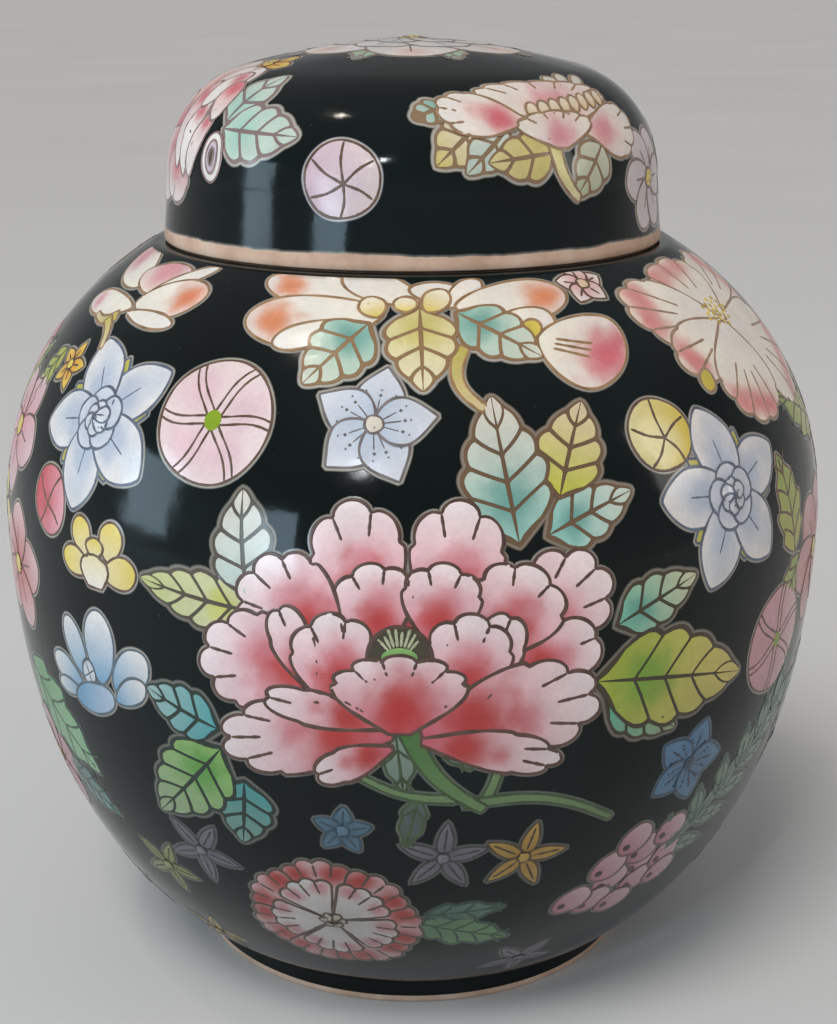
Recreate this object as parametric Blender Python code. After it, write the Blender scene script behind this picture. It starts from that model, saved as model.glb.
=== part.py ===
"""Porcelain ginger jar: a jar and its loose cap-shaped lid.

Metres, +Z up. The origin is the centre of the plane that the foot ring rests on.
Both pieces are turned shapes, and each profile runs down its outer side.
"""

import math

import bpy

TURN_STEPS = 64

# Jar, outside
BELLY_RADIUS = 0.0682
BELLY_HEIGHT = 0.0769
SHOULDER_POWER = 2.135
BELOW_BELLY_RISE = 0.0840
BELOW_BELLY_POWER = 2.26
SEAT_HEIGHT = 0.1212
SHOULDER_EDGE_RADIUS = 0.0430
SEAT_RADIUS = 0.0419
SEAT_EDGE_DROP = 0.0004

# Neck
NECK_RADIUS = 0.0325
NECK_WALL = 0.0037
NECK_HEIGHT = 0.0145
NECK_ROOT_FILLET = 0.0012

# Foot ring
FOOT_JOIN_RADIUS = 0.0402
FOOT_RADIUS = 0.0380
FOOT_HEIGHT = 0.0044
FOOT_TAPER = 0.0004
FOOT_WIDTH = 0.0046
FOOT_CHAMFER = 0.0006
RECESS_DEPTH = 0.0034
RECESS_FILLET = 0.0010

# Jar, inside
BODY_WALL = 0.0040
SHOULDER_THICKNESS = 0.0035
FLOOR_HEIGHT = 0.0088
FLOOR_FILLET = 0.0016

# Lid
LID_GAP = 0.0003
LID_RIM_RADIUS = 0.04075
LID_SIDE_RADIUS = 0.03975
LID_SIDE_HEIGHT = 0.0103
LID_CORNER_RADIUS = 0.0175
LID_CORNER_ANGLE = math.radians(73.8)
LID_WALL = 0.0039
LID_RIM_CHAMFER = 0.0004


def material(name, colour, roughness):
    made = bpy.data.materials.new(name)
    made.use_nodes = True
    shader = made.node_tree.nodes["Principled BSDF"]
    shader.inputs["Base Color"].default_value = (*colour, 1.0)
    shader.inputs["Roughness"].default_value = roughness
    shader.inputs["Metallic"].default_value = 0.0
    return made


def quarter_rise(radius, power, at_radius, rise_there):
    """The full rise of the quarter curve that stands rise_there above its widest ring at at_radius."""
    return rise_there / (1 - (at_radius / radius) ** power) ** (1 / power)


def quarter_radius(radius, rise, power, height):
    """The radius of the quarter curve at a height from its widest ring."""
    return radius * (1 - (abs(height) / abs(rise)) ** power) ** (1 / power)


def quarter_curve(radius, rise, power, centre, from_radius, to_radius, count):
    """Points of (r / radius)^power + (z / rise)^power = 1 between two radii. A negative rise runs downwards."""
    start = math.acos((from_radius / radius) ** (power / 2))
    end = math.acos((to_radius / radius) ** (power / 2))
    points = []
    for step in range(count + 1):
        angle = start + (end - start) * step / count
        points.append(
            (
                radius * max(0.0, math.cos(angle)) ** (2 / power),
                centre + rise * max(0.0, math.sin(angle)) ** (2 / power),
            )
        )
    return points


def arc(centre_r, centre_z, radius, start, end, count):
    """Points of a circular arc, its angles counted from the outward direction."""
    points = []
    for step in range(count + 1):
        angle = start + (end - start) * step / count
        points.append((centre_r + radius * math.cos(angle), centre_z + radius * math.sin(angle)))
    return points


def turned(name, profile, finish):
    """One closed solid turned from a profile that starts and ends on the axis."""
    mesh = bpy.data.meshes.new(name)
    edges = [(i, i + 1) for i in range(len(profile) - 1)]
    mesh.from_pydata([(r, 0.0, z) for r, z in profile], edges, [])
    piece = bpy.data.objects.new(name, mesh)
    bpy.context.scene.collection.objects.link(piece)
    mesh.materials.append(finish)
    screw = piece.modifiers.new("turn", "SCREW")
    screw.axis = "Z"
    screw.angle = 2 * math.pi
    screw.steps = TURN_STEPS
    screw.render_steps = TURN_STEPS
    screw.use_smooth_shade = True
    screw.use_merge_vertices = True
    screw.merge_threshold = 0.00001
    return piece


def jar_inside():
    """From the middle of the floor up to the neck."""
    radius = BELLY_RADIUS - BODY_WALL
    neck_bore = NECK_RADIUS - NECK_WALL
    lower = BELOW_BELLY_RISE - BODY_WALL
    top = SEAT_HEIGHT - SHOULDER_THICKNESS
    upper = quarter_rise(radius, SHOULDER_POWER, neck_bore, top - BELLY_HEIGHT)
    drop = BELLY_HEIGHT - FLOOR_HEIGHT - FLOOR_FILLET
    floor_edge = quarter_radius(radius, lower, BELOW_BELLY_POWER, drop)
    floor = [(0.0, FLOOR_HEIGHT), (floor_edge - 2 * FLOOR_FILLET, FLOOR_HEIGHT)]
    below = quarter_curve(radius, -lower, BELOW_BELLY_POWER, BELLY_HEIGHT, floor_edge, radius, 9)
    above = quarter_curve(radius, upper, SHOULDER_POWER, BELLY_HEIGHT, radius, neck_bore, 9)
    return floor + below + above[1:]


def neck():
    """Over the lip, and down the outside of the neck to the seat."""
    lip = NECK_WALL / 2
    lip_height = SEAT_HEIGHT + NECK_HEIGHT - lip
    over = arc(NECK_RADIUS - lip, lip_height, lip, math.pi, 0.0, 6)
    root_r = NECK_RADIUS + NECK_ROOT_FILLET
    root_z = SEAT_HEIGHT + NECK_ROOT_FILLET
    root = arc(root_r, root_z, NECK_ROOT_FILLET, math.pi, 1.5 * math.pi, 3)
    return over + root


def jar_outside():
    """From the edge of the seat down to the foot ring."""
    upper = quarter_rise(
        BELLY_RADIUS, SHOULDER_POWER, SHOULDER_EDGE_RADIUS, SEAT_HEIGHT - SEAT_EDGE_DROP - BELLY_HEIGHT
    )
    seat_edge = [(SEAT_RADIUS, SEAT_HEIGHT)]
    above = quarter_curve(
        BELLY_RADIUS, upper, SHOULDER_POWER, BELLY_HEIGHT, SHOULDER_EDGE_RADIUS, BELLY_RADIUS, 12
    )
    below = quarter_curve(
        BELLY_RADIUS, -BELOW_BELLY_RISE, BELOW_BELLY_POWER, BELLY_HEIGHT, BELLY_RADIUS, FOOT_JOIN_RADIUS, 13
    )
    return seat_edge + above + below[1:]


def foot():
    """The foot ring and the shallow recess inside it."""
    outer = FOOT_RADIUS - FOOT_TAPER
    inner = FOOT_RADIUS - FOOT_WIDTH
    recess = arc(
        inner - RECESS_FILLET, RECESS_DEPTH - RECESS_FILLET, RECESS_FILLET, 0.0, math.pi / 2, 3
    )
    ring = [
        (FOOT_RADIUS, FOOT_HEIGHT),
        (outer, FOOT_CHAMFER),
        (outer - FOOT_CHAMFER, 0.0),
        (inner + FOOT_CHAMFER, 0.0),
        (inner, FOOT_CHAMFER),
    ]
    return ring + recess + [(0.0, RECESS_DEPTH)]


def lid_arch(inset, count):
    """The lid's three-centred arch from the axis down to its straight side, moved inwards by inset."""
    corner_r = LID_SIDE_RADIUS - LID_CORNER_RADIUS
    corner_z = SEAT_HEIGHT + LID_GAP + LID_SIDE_HEIGHT
    crown_radius = LID_CORNER_RADIUS + corner_r / math.cos(LID_CORNER_ANGLE)
    crown_z = corner_z - corner_r * math.tan(LID_CORNER_ANGLE)
    crown = arc(0.0, crown_z, crown_radius - inset, math.pi / 2, LID_CORNER_ANGLE, count)
    corner = arc(corner_r, corner_z, LID_CORNER_RADIUS - inset, LID_CORNER_ANGLE, 0.0, 2 * count)
    return [(0.0, crown[0][1])] + crown[1:] + corner[1:]


def lid_profile():
    bottom = SEAT_HEIGHT + LID_GAP
    rim_in = LID_RIM_RADIUS - LID_WALL
    rim = [
        (LID_RIM_RADIUS, bottom + LID_RIM_CHAMFER),
        (LID_RIM_RADIUS - LID_RIM_CHAMFER, bottom),
        (rim_in + LID_RIM_CHAMFER, bottom),
        (rim_in, bottom + LID_RIM_CHAMFER),
    ]
    return lid_arch(0.0, 5) + rim + lid_arch(LID_WALL, 4)[::-1]


def main():
    for old in list(bpy.data.objects):
        bpy.data.objects.remove(old)
    glaze = material("jar_black_enamel", (0.012, 0.016, 0.014), 0.08)
    lid_glaze = material("lid_black_enamel", (0.012, 0.017, 0.016), 0.08)
    turned("jar", jar_inside() + neck() + jar_outside() + foot(), glaze)
    turned("lid", lid_profile(), lid_glaze)


main()
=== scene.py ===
"""Looks of the porcelain ginger jar: black enamel ground, flowers in raised enamel, pale studio."""

import math
import random

import bpy
import numpy as np
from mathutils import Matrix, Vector, noise
from mathutils.geometry import delaunay_2d_cdt


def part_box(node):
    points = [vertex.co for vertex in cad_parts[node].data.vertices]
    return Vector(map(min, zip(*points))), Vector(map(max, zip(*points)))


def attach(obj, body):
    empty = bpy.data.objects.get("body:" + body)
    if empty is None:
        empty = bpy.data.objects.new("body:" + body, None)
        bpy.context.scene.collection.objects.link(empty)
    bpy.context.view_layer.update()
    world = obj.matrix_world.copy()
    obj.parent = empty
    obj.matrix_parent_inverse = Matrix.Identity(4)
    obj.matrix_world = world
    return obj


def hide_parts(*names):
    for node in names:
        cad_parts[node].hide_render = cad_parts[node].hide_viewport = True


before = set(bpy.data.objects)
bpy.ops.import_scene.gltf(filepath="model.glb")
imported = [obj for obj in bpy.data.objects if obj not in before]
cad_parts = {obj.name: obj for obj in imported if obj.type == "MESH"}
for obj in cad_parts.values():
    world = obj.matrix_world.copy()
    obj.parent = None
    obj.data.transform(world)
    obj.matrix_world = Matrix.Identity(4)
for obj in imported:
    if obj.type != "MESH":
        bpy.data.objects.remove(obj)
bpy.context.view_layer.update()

MM = 0.001

# Driving sizes in millimetres, read from the frame where the frame holds them.
JAR_LOW, JAR_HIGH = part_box("jar")
LID_LOW, LID_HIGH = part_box("lid")
BELLY_RADIUS = (JAR_HIGH.x - JAR_LOW.x) / 2 / MM
NECK_TOP = JAR_HIGH.z / MM
LID_RIM_RADIUS = (LID_HIGH.x - LID_LOW.x) / 2 / MM
LID_BOTTOM = LID_LOW.z / MM
LID_GAP = 0.3
SEAT_HEIGHT = LID_BOTTOM - LID_GAP

# The jar's profile.
BELLY_HEIGHT = 76.9
SHOULDER_POWER = 2.135
SHOULDER_EDGE_RADIUS = 43.0
SEAT_EDGE_DROP = 0.4
SEAT_RADIUS = 41.9
BELOW_RISE = 84.0
BELOW_POWER = 2.26
FOOT_JOIN_RADIUS = 40.2
FOOT_RADIUS = 38.0
FOOT_HEIGHT = 4.4
FOOT_INNER_RADIUS = 33.4
FOOT_CHAMFER = 0.6
RECESS_DEPTH = 3.4
NECK_RADIUS = 32.5
NECK_WALL = 3.7
BODY_WALL = 4.0
FLOOR_HEIGHT = 8.8

# The lid's profile.
LID_SIDE_RADIUS = 39.75
LID_SIDE_HEIGHT = 10.3
LID_CORNER_RADIUS = 17.5
LID_CORNER_ANGLE = math.radians(73.8)
LID_WALL = 3.9
RIM_BAND = 2.1
LID_BARE_INSIDE = 3.0

TURN_STEPS = 288
SHARP_EDGE = math.radians(38)

# The photograph's view, in metres and degrees.
CAMERA_PLACE = (0.0, -0.299, 0.1626)
CAMERA_PITCH = 16.63
CAMERA_LENS = 63.3
CAMERA_SHIFT = 0.0059


def srgb(red, green, blue):
    """A linear colour from one written as 0 to 255."""
    return np.array([((c / 255 + 0.055) / 1.055) ** 2.4 if c > 10 else c / 3295
                     for c in (red, green, blue)])


# ---------------------------------------------------------------- turned surfaces


def quarter(radius, rise, power, centre, from_radius, to_radius, count):
    start = math.acos((from_radius / radius) ** (power / 2))
    end = math.acos((to_radius / radius) ** (power / 2))
    angles = [start + (end - start) * i / count for i in range(count + 1)]
    return [
        (
            radius * max(0.0, math.cos(a)) ** (2 / power),
            centre + rise * max(0.0, math.sin(a)) ** (2 / power),
        )
        for a in angles
    ]


def arc(centre_r, centre_z, radius, start, end, count):
    angles = [start + (end - start) * i / count for i in range(count + 1)]
    return [(centre_r + radius * math.cos(a), centre_z + radius * math.sin(a)) for a in angles]


def line(start, end, count):
    return [
        (start[0] + (end[0] - start[0]) * i / count, start[1] + (end[1] - start[1]) * i / count)
        for i in range(count + 1)
    ]


def rise_through(radius, power, at_radius, height):
    return height / (1 - (at_radius / radius) ** power) ** (1 / power)


def jar_outer():
    """The painted outside, from the foot up to the seat's edge."""
    top = SEAT_HEIGHT - SEAT_EDGE_DROP - BELLY_HEIGHT
    rise = rise_through(BELLY_RADIUS, SHOULDER_POWER, SHOULDER_EDGE_RADIUS, top)
    lower = quarter(BELLY_RADIUS, -BELOW_RISE, BELOW_POWER, BELLY_HEIGHT, FOOT_JOIN_RADIUS,
                    BELLY_RADIUS, 70)
    upper = quarter(BELLY_RADIUS, rise, SHOULDER_POWER, BELLY_HEIGHT, BELLY_RADIUS,
                    SHOULDER_EDGE_RADIUS, 60)
    return lower + upper[1:]


def lid_outer(inset=0.0):
    """The lid from its rim up to the middle of the crown, moved inwards by inset."""
    corner_r = LID_SIDE_RADIUS - LID_CORNER_RADIUS
    corner_z = LID_BOTTOM + LID_SIDE_HEIGHT
    crown = LID_CORNER_RADIUS + corner_r / math.cos(LID_CORNER_ANGLE)
    crown_z = corner_z - corner_r * math.tan(LID_CORNER_ANGLE)
    side = line((LID_RIM_RADIUS - inset, LID_BOTTOM + 0.4), (LID_SIDE_RADIUS - inset, corner_z), 14)
    corner = arc(corner_r, corner_z, LID_CORNER_RADIUS - inset, 0.0, LID_CORNER_ANGLE, 40)
    top = arc(0.0, crown_z, crown - inset, LID_CORNER_ANGLE, math.pi / 2, 30)
    return side + corner[1:] + top[1:-1] + [(0.0, crown_z + crown - inset)]


class Surface:
    """A turned outside, measured by arc length from its lower end."""

    def __init__(self, profile):
        points = np.array(profile)
        self.points = points
        steps = np.linalg.norm(np.diff(points, axis=0), axis=1)
        self.lengths = np.concatenate([[0.0], np.cumsum(steps)])
        slope = np.gradient(points, self.lengths, axis=0)
        normal = np.stack([slope[:, 1], -slope[:, 0]], axis=1)
        self.normals = normal / np.linalg.norm(normal, axis=1, keepdims=True)

    def radius(self, length):
        return np.interp(length, self.lengths, self.points[:, 0])

    def place(self, azimuth, length, lift):
        """Points in metres, lifted off the surface along its normal."""
        r = self.radius(length)
        z = np.interp(length, self.lengths, self.points[:, 1])
        nr = np.interp(length, self.lengths, self.normals[:, 0])
        nz = np.interp(length, self.lengths, self.normals[:, 1])
        r = r + nr * lift
        z = z + nz * lift
        return np.stack([r * np.sin(azimuth), -r * np.cos(azimuth), z], axis=1) * MM


JAR_SIDE = Surface(jar_outer())
LID_SIDE = Surface(lid_outer())


def side_wrap(surface, azimuth, middle):
    """Wraps a flat drawing round a surface, its origin at an azimuth and a length up the wall."""
    turn = math.radians(azimuth)

    def wrap(points, lift):
        length = np.clip(middle + points[:, 1], 0.05, surface.lengths[-1])
        radius = np.maximum(surface.radius(length), 6.0)
        return surface.place(turn + points[:, 0] / radius, length, lift)

    return wrap


def crown_wrap(surface, azimuth, radius, turn):
    """Lays a flat drawing on the lid's top, its origin at an azimuth and radius, turned by an angle."""
    a = math.radians(azimuth)
    t = math.radians(turn)
    middle = np.array([radius * math.sin(a), -radius * math.cos(a)])
    tops = surface.points[::-1]
    lengths = surface.lengths[::-1]

    def wrap(points, lift):
        x = middle[0] + points[:, 0] * math.cos(t) - points[:, 1] * math.sin(t)
        y = middle[1] + points[:, 0] * math.sin(t) + points[:, 1] * math.cos(t)
        length = np.interp(np.hypot(x, y), tops[:, 0], lengths)
        return surface.place(np.arctan2(x, -y), length, lift)

    return wrap


# ---------------------------------------------------------------- materials


def new_material(name):
    made = bpy.data.materials.new(name)
    made.use_nodes = True
    return made, made.node_tree, made.node_tree.nodes["Principled BSDF"]


def add(tree, kind, **settings):
    node = tree.nodes.new(kind)
    for key, value in settings.items():
        if key in node.inputs:
            node.inputs[key].default_value = value
        else:
            setattr(node, key, value)
    return node


def link(tree, source, target):
    tree.links.new(source, target)


def object_point(tree):
    return add(tree, "ShaderNodeTexCoord").outputs["Object"]


def noise_of(tree, point, scale, detail=3.0, rough=0.5):
    node = add(tree, "ShaderNodeTexNoise", Scale=scale, Detail=detail, Roughness=rough)
    link(tree, point, node.inputs["Vector"])
    return node.outputs["Fac"]


def ramp(tree, value, stops):
    node = add(tree, "ShaderNodeValToRGB")
    bar = node.color_ramp
    while len(bar.elements) < len(stops):
        bar.elements.new(0.5)
    for element, (position, colour) in zip(bar.elements, stops):
        element.position = position
        element.color = (*colour, 1.0)
    link(tree, value, node.inputs["Fac"])
    return node.outputs["Color"]


def span(tree, value, low, high, to_low, to_high):
    node = add(tree, "ShaderNodeMapRange")
    for key, number in (("From Min", low), ("From Max", high), ("To Min", to_low), ("To Max", to_high)):
        node.inputs[key].default_value = number
    link(tree, value, node.inputs["Value"])
    return node.outputs["Result"]


def mixed(tree, factor, first, second, blend="MIX"):
    node = tree.nodes.new("ShaderNodeMix")
    node.data_type = "RGBA"
    node.blend_type = blend
    for value, socket in ((factor, node.inputs[0]), (first, node.inputs[6]), (second, node.inputs[7])):
        if isinstance(value, (int, float)):
            socket.default_value = value
        elif isinstance(value, bpy.types.NodeSocket):
            link(tree, value, socket)
        else:
            socket.default_value = (*value, 1.0)
    return node.outputs[2]


def maths(tree, operation, first, second):
    node = tree.nodes.new("ShaderNodeMath")
    node.operation = operation
    for value, socket in ((first, node.inputs[0]), (second, node.inputs[1])):
        if isinstance(value, (int, float)):
            socket.default_value = value
        else:
            link(tree, value, socket)
    return node.outputs[0]


def bumped(tree, shader, heights):
    """Chains bumps, each (height socket, strength, distance in millimetres)."""
    normal = None
    for height, strength, distance in heights:
        node = add(tree, "ShaderNodeBump", Strength=strength, Distance=distance * MM)
        link(tree, height, node.inputs["Height"])
        if normal is not None:
            link(tree, normal, node.inputs["Normal"])
        normal = node.outputs["Normal"]
    link(tree, normal, shader.inputs["Normal"])


def black_enamel(name):
    """Near-black ground with a green and blue cast, brushed on unevenly and glossy."""
    made, tree, shader = new_material(name)
    point = object_point(tree)
    cast = noise_of(tree, point, 28.0, 4.0)
    colour = ramp(
        tree,
        cast,
        [(0.25, srgb(8, 12, 12)), (0.5, srgb(13, 20, 20)), (0.75, srgb(16, 26, 28))],
    )
    shader.inputs["Specular IOR Level"].default_value = 0.2
    speck = noise_of(tree, point, 900.0, 2.0)
    worn = span(tree, speck, 0.76, 0.80, 0.0, 0.35)
    link(tree, mixed(tree, worn, colour, srgb(96, 98, 92)), shader.inputs["Base Color"])
    broad = noise_of(tree, point, 60.0, 3.0)
    link(tree, span(tree, broad, 0.3, 0.7, 0.05, 0.16), shader.inputs["Roughness"])
    waves = noise_of(tree, point, 95.0, 2.0)
    peel = noise_of(tree, point, 520.0, 2.0)
    bumped(tree, shader, [(waves, 0.35, 0.35), (peel, 0.22, 0.06)])
    return made


def painted_enamel():
    """Raised translucent enamel whose colour is painted on each vertex, with painted shade that darkens
    it towards the bottom of the jar.
    """
    made, tree, shader = new_material("painted_enamel")
    point = object_point(tree)
    paint = add(tree, "ShaderNodeAttribute", attribute_name="paint").outputs["Color"]
    cloud = noise_of(tree, point, 170.0, 4.0, 0.6)
    shade = ramp(tree, cloud, [(0.3, (0.86, 0.87, 0.88)), (0.7, (1.0, 1.0, 1.0))])
    grain = noise_of(tree, point, 1500.0, 2.0)
    fine = ramp(tree, grain, [(0.3, (0.94, 0.94, 0.94)), (0.6, (1.0, 1.0, 1.0))])
    split = add(tree, "ShaderNodeSeparateXYZ")
    link(tree, point, split.inputs["Vector"])
    # Painted shade: the paint's colour is multiplied by a ramp on height, from 0.44 low on the jar up to
    # 0.88 above the belly, standing in for the light falling off towards the bottom; the top value also
    # stays below 1 to dull the enamel's white.
    painted_low_shade = ramp(tree, span(tree, split.outputs["Z"], 0.012, 0.085, 0.0, 1.0),
                    [(0.0, (0.44, 0.44, 0.44)), (0.4, (0.56, 0.55, 0.54)), (0.8, (0.82, 0.80, 0.79)),
                     (1.0, (0.88, 0.86, 0.84))])
    clouded = mixed(tree, 1.0, mixed(tree, 1.0, paint, painted_low_shade, "MULTIPLY"), shade, "MULTIPLY")
    link(tree, mixed(tree, 1.0, clouded, fine, "MULTIPLY"), shader.inputs["Base Color"])
    link(tree, span(tree, cloud, 0.3, 0.7, 0.12, 0.3), shader.inputs["Roughness"])
    bumped(tree, shader, [(noise_of(tree, point, 260.0, 3.0), 0.3, 0.12), (grain, 0.12, 0.03)])
    return made


def ink_enamel():
    """Raised brown outlines, a little uneven along their length."""
    made, tree, shader = new_material("ink_lines")
    point = object_point(tree)
    paint = add(tree, "ShaderNodeAttribute", attribute_name="paint").outputs["Color"]
    cloud = noise_of(tree, point, 420.0, 3.0, 0.6)
    shade = ramp(tree, cloud, [(0.3, (0.72, 0.70, 0.68)), (0.7, (1.15, 1.12, 1.1))])
    link(tree, mixed(tree, 1.0, paint, shade, "MULTIPLY"), shader.inputs["Base Color"])
    link(tree, span(tree, cloud, 0.3, 0.7, 0.22, 0.42), shader.inputs["Roughness"])
    bumped(tree, shader, [(noise_of(tree, point, 900.0, 2.0), 0.35, 0.06)])
    return made


def white_glaze():
    """The white glazed inside, with a few brown specks."""
    made, tree, shader = new_material("white_glaze")
    point = object_point(tree)
    cloud = noise_of(tree, point, 45.0, 4.0)
    colour = ramp(tree, cloud, [(0.3, srgb(222, 226, 222)), (0.7, srgb(240, 241, 236))])
    speck = span(tree, noise_of(tree, point, 700.0, 1.0), 0.77, 0.8, 0.0, 0.6)
    link(tree, mixed(tree, speck, colour, srgb(120, 105, 88)), shader.inputs["Base Color"])
    link(tree, span(tree, cloud, 0.3, 0.7, 0.08, 0.18), shader.inputs["Roughness"])
    bumped(tree, shader, [(noise_of(tree, point, 160.0, 2.0), 0.2, 0.12)])
    return made


def biscuit_colour(tree, point):
    """Clouded tan with darker dirt."""
    cloud = noise_of(tree, point, 120.0, 5.0, 0.65)
    colour = ramp(
        tree,
        cloud,
        [(0.25, srgb(166, 132, 108)), (0.5, srgb(196, 164, 142)), (0.8, srgb(214, 190, 172))],
    )
    dirt = span(tree, noise_of(tree, point, 480.0, 4.0, 0.7), 0.6, 0.75, 0.0, 0.4)
    return mixed(tree, dirt, colour, srgb(128, 98, 78))


def biscuit():
    """Unglazed porcelain, toasted to a warm tan in the kiln."""
    made, tree, shader = new_material("biscuit")
    point = object_point(tree)
    link(tree, biscuit_colour(tree, point), shader.inputs["Base Color"])
    shader.inputs["Roughness"].default_value = 0.72
    bumped(tree, shader, [(noise_of(tree, point, 1300.0, 4.0, 0.7), 0.4, 0.08)])
    return made


def rim_enamel():
    """The lid's side: the black enamel ends in an uneven line above the bare rim."""
    made = black_enamel("lid_enamel")
    tree = made.node_tree
    shader = tree.nodes["Principled BSDF"]
    point = object_point(tree)
    split = add(tree, "ShaderNodeSeparateXYZ")
    link(tree, point, split.inputs["Vector"])
    wobble = span(tree, noise_of(tree, point, 55.0, 4.0, 0.6), 0.3, 0.7, -0.45, 0.45)
    height = maths(tree, "DIVIDE", maths(tree, "SUBTRACT", split.outputs["Z"], LID_BOTTOM * MM), MM)
    height = maths(tree, "ADD", height, wobble)
    bare = span(tree, height, RIM_BAND, RIM_BAND + 0.12, 1.0, 0.0)
    edge = span(tree, height, RIM_BAND + 0.1, RIM_BAND + 0.45, 0.55, 0.0)
    black = shader.inputs["Base Color"].links[0].from_socket
    edged = mixed(tree, edge, black, srgb(150, 146, 138))
    link(tree, mixed(tree, bare, edged, biscuit_colour(tree, point)), shader.inputs["Base Color"])
    gloss = shader.inputs["Roughness"].links[0].from_socket
    link(tree, maths(tree, "MAXIMUM", gloss, maths(tree, "MULTIPLY", bare, 0.72)),
         shader.inputs["Roughness"])
    return made


# ---------------------------------------------------------------- pieces turned on the wheel


def turned_piece(name, body, sections, materials):
    """A closed turned mesh. sections are (points, material index), end to end, from axis to axis."""
    profile, zones = [], []
    for points, zone in sections:
        new = points if not profile else points[1:]
        zones.extend([zone] * (len(points) - 1))
        profile.extend(new)
    rings = profile[1:-1]
    verts = [(0.0, 0.0, profile[0][1] * MM)]
    for r, z in rings:
        for i in range(TURN_STEPS):
            a = 2 * math.pi * i / TURN_STEPS
            verts.append((r * MM * math.sin(a), -r * MM * math.cos(a), z * MM))
    verts.append((0.0, 0.0, profile[-1][1] * MM))
    faces, index = [], []
    last = len(verts) - 1
    for i in range(TURN_STEPS):
        j = (i + 1) % TURN_STEPS
        faces.append((0, 1 + i, 1 + j))
        index.append(zones[0])
        for k in range(len(rings) - 1):
            low, high = 1 + k * TURN_STEPS, 1 + (k + 1) * TURN_STEPS
            faces.append((low + i, high + i, high + j, low + j))
            index.append(zones[k + 1])
        low = 1 + (len(rings) - 1) * TURN_STEPS
        faces.append((low + j, low + i, last))
        index.append(zones[-1])
    mesh = bpy.data.meshes.new(name)
    mesh.from_pydata(verts, [], faces)
    for made in materials:
        mesh.materials.append(made)
    mesh.polygons.foreach_set("material_index", index)
    mesh.shade_smooth()
    mesh.set_sharp_from_angle(angle=SHARP_EDGE)
    mesh.update()
    piece = bpy.data.objects.new(name, mesh)
    bpy.context.scene.collection.objects.link(piece)
    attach(piece, body)
    return piece


def make_jar():
    """The jar: inside, neck, bare seat, painted outside, foot ring and recess."""
    inner_radius = BELLY_RADIUS - BODY_WALL
    bore = NECK_RADIUS - NECK_WALL
    lower = BELOW_RISE - BODY_WALL
    inner_top = SEAT_HEIGHT - 3.5
    upper = rise_through(inner_radius, SHOULDER_POWER, bore, inner_top - BELLY_HEIGHT)
    drop = BELLY_HEIGHT - FLOOR_HEIGHT - 1.6
    floor_edge = inner_radius * (1 - (drop / lower) ** BELOW_POWER) ** (1 / BELOW_POWER)
    lip = NECK_WALL / 2
    inside = line((0.0, FLOOR_HEIGHT), (floor_edge - 3.2, FLOOR_HEIGHT), 12)
    inside += quarter(inner_radius, -lower, BELOW_POWER, BELLY_HEIGHT, floor_edge, inner_radius, 40)
    inside += quarter(inner_radius, upper, SHOULDER_POWER, BELLY_HEIGHT, inner_radius, bore, 40)[1:]
    over = arc(NECK_RADIUS - lip, NECK_TOP - lip, lip, math.pi, 0.0, 16)
    root = arc(NECK_RADIUS + 1.2, SEAT_HEIGHT + 1.2, 1.2, math.pi, 1.5 * math.pi, 6)
    neck = [inside[-1]] + over + root
    seat = [root[-1], (LID_RIM_RADIUS - 0.6, SEAT_HEIGHT)]
    edge = [seat[-1], (SEAT_RADIUS, SEAT_HEIGHT), (SEAT_RADIUS + 0.65, SEAT_HEIGHT - 0.13),
            (SHOULDER_EDGE_RADIUS, SEAT_HEIGHT - SEAT_EDGE_DROP)]
    outside = edge + jar_outer()[::-1][1:]
    foot_side = [
        outside[-1],
        (FOOT_RADIUS + 0.5, FOOT_HEIGHT + 0.25),
        (FOOT_RADIUS, FOOT_HEIGHT - 0.2),
        (FOOT_RADIUS - 0.3, 1.4),
    ]
    ring = [
        foot_side[-1],
        (FOOT_RADIUS - 0.4, FOOT_CHAMFER),
        (FOOT_RADIUS - 0.6, 0.2),
        (FOOT_RADIUS - 1.0, 0.0),
        (FOOT_INNER_RADIUS + FOOT_CHAMFER, 0.0),
        (FOOT_INNER_RADIUS, FOOT_CHAMFER),
    ]
    recess = arc(FOOT_INNER_RADIUS - 1.0, RECESS_DEPTH - 1.0, 1.0, 0.0, math.pi / 2, 5)
    recess = [ring[-1]] + recess + [(0.0, RECESS_DEPTH)]
    sections = [(inside, 1), (neck, 1), (seat, 2), (outside, 0), (foot_side, 0), (ring, 2), (recess, 1)]
    piece = turned_piece(
        "jar_porcelain", "jar_body", sections,
        [black_enamel("jar_enamel"), GLAZE, BISCUIT]
    )
    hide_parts("jar")


def make_lid():
    """The lid: painted outside, bare rim and glazed inside."""
    outside = lid_outer()[::-1]
    inside = lid_outer(LID_WALL)
    rim_in = LID_RIM_RADIUS - LID_WALL
    rim = [
        outside[-1],
        (LID_RIM_RADIUS - 0.12, LID_BOTTOM + 0.12),
        (LID_RIM_RADIUS - 0.4, LID_BOTTOM),
        (rim_in + 0.4, LID_BOTTOM),
        inside[0],
    ]
    bare_in = [point for point in inside if point[1] < LID_BOTTOM + LID_BARE_INSIDE]
    glazed_in = inside[len(bare_in) - 1 :]
    sections = [(outside, 0), (rim, 2), (bare_in, 2), (glazed_in, 1)]
    piece = turned_piece("lid_porcelain", "lid_body", sections,
                         [rim_enamel(), GLAZE, BISCUIT])
    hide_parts("lid")


# ---------------------------------------------------------------- drawing in the flat, in millimetres


def resampled(points, step, closed):
    """Points at even steps along a path."""
    path = np.vstack([points, points[:1]]) if closed else points
    gaps = np.linalg.norm(np.diff(path, axis=0), axis=1)
    keep = np.concatenate([[True], gaps > 1e-6])
    path = path[keep]
    lengths = np.concatenate([[0.0], np.cumsum(np.linalg.norm(np.diff(path, axis=0), axis=1))])
    count = max(3 if closed else 2, int(round(lengths[-1] / step)))
    at = np.linspace(0.0, lengths[-1], count + 1)
    even = np.stack([np.interp(at, lengths, path[:, 0]), np.interp(at, lengths, path[:, 1])], axis=1)
    return even[:-1] if closed else even


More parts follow.
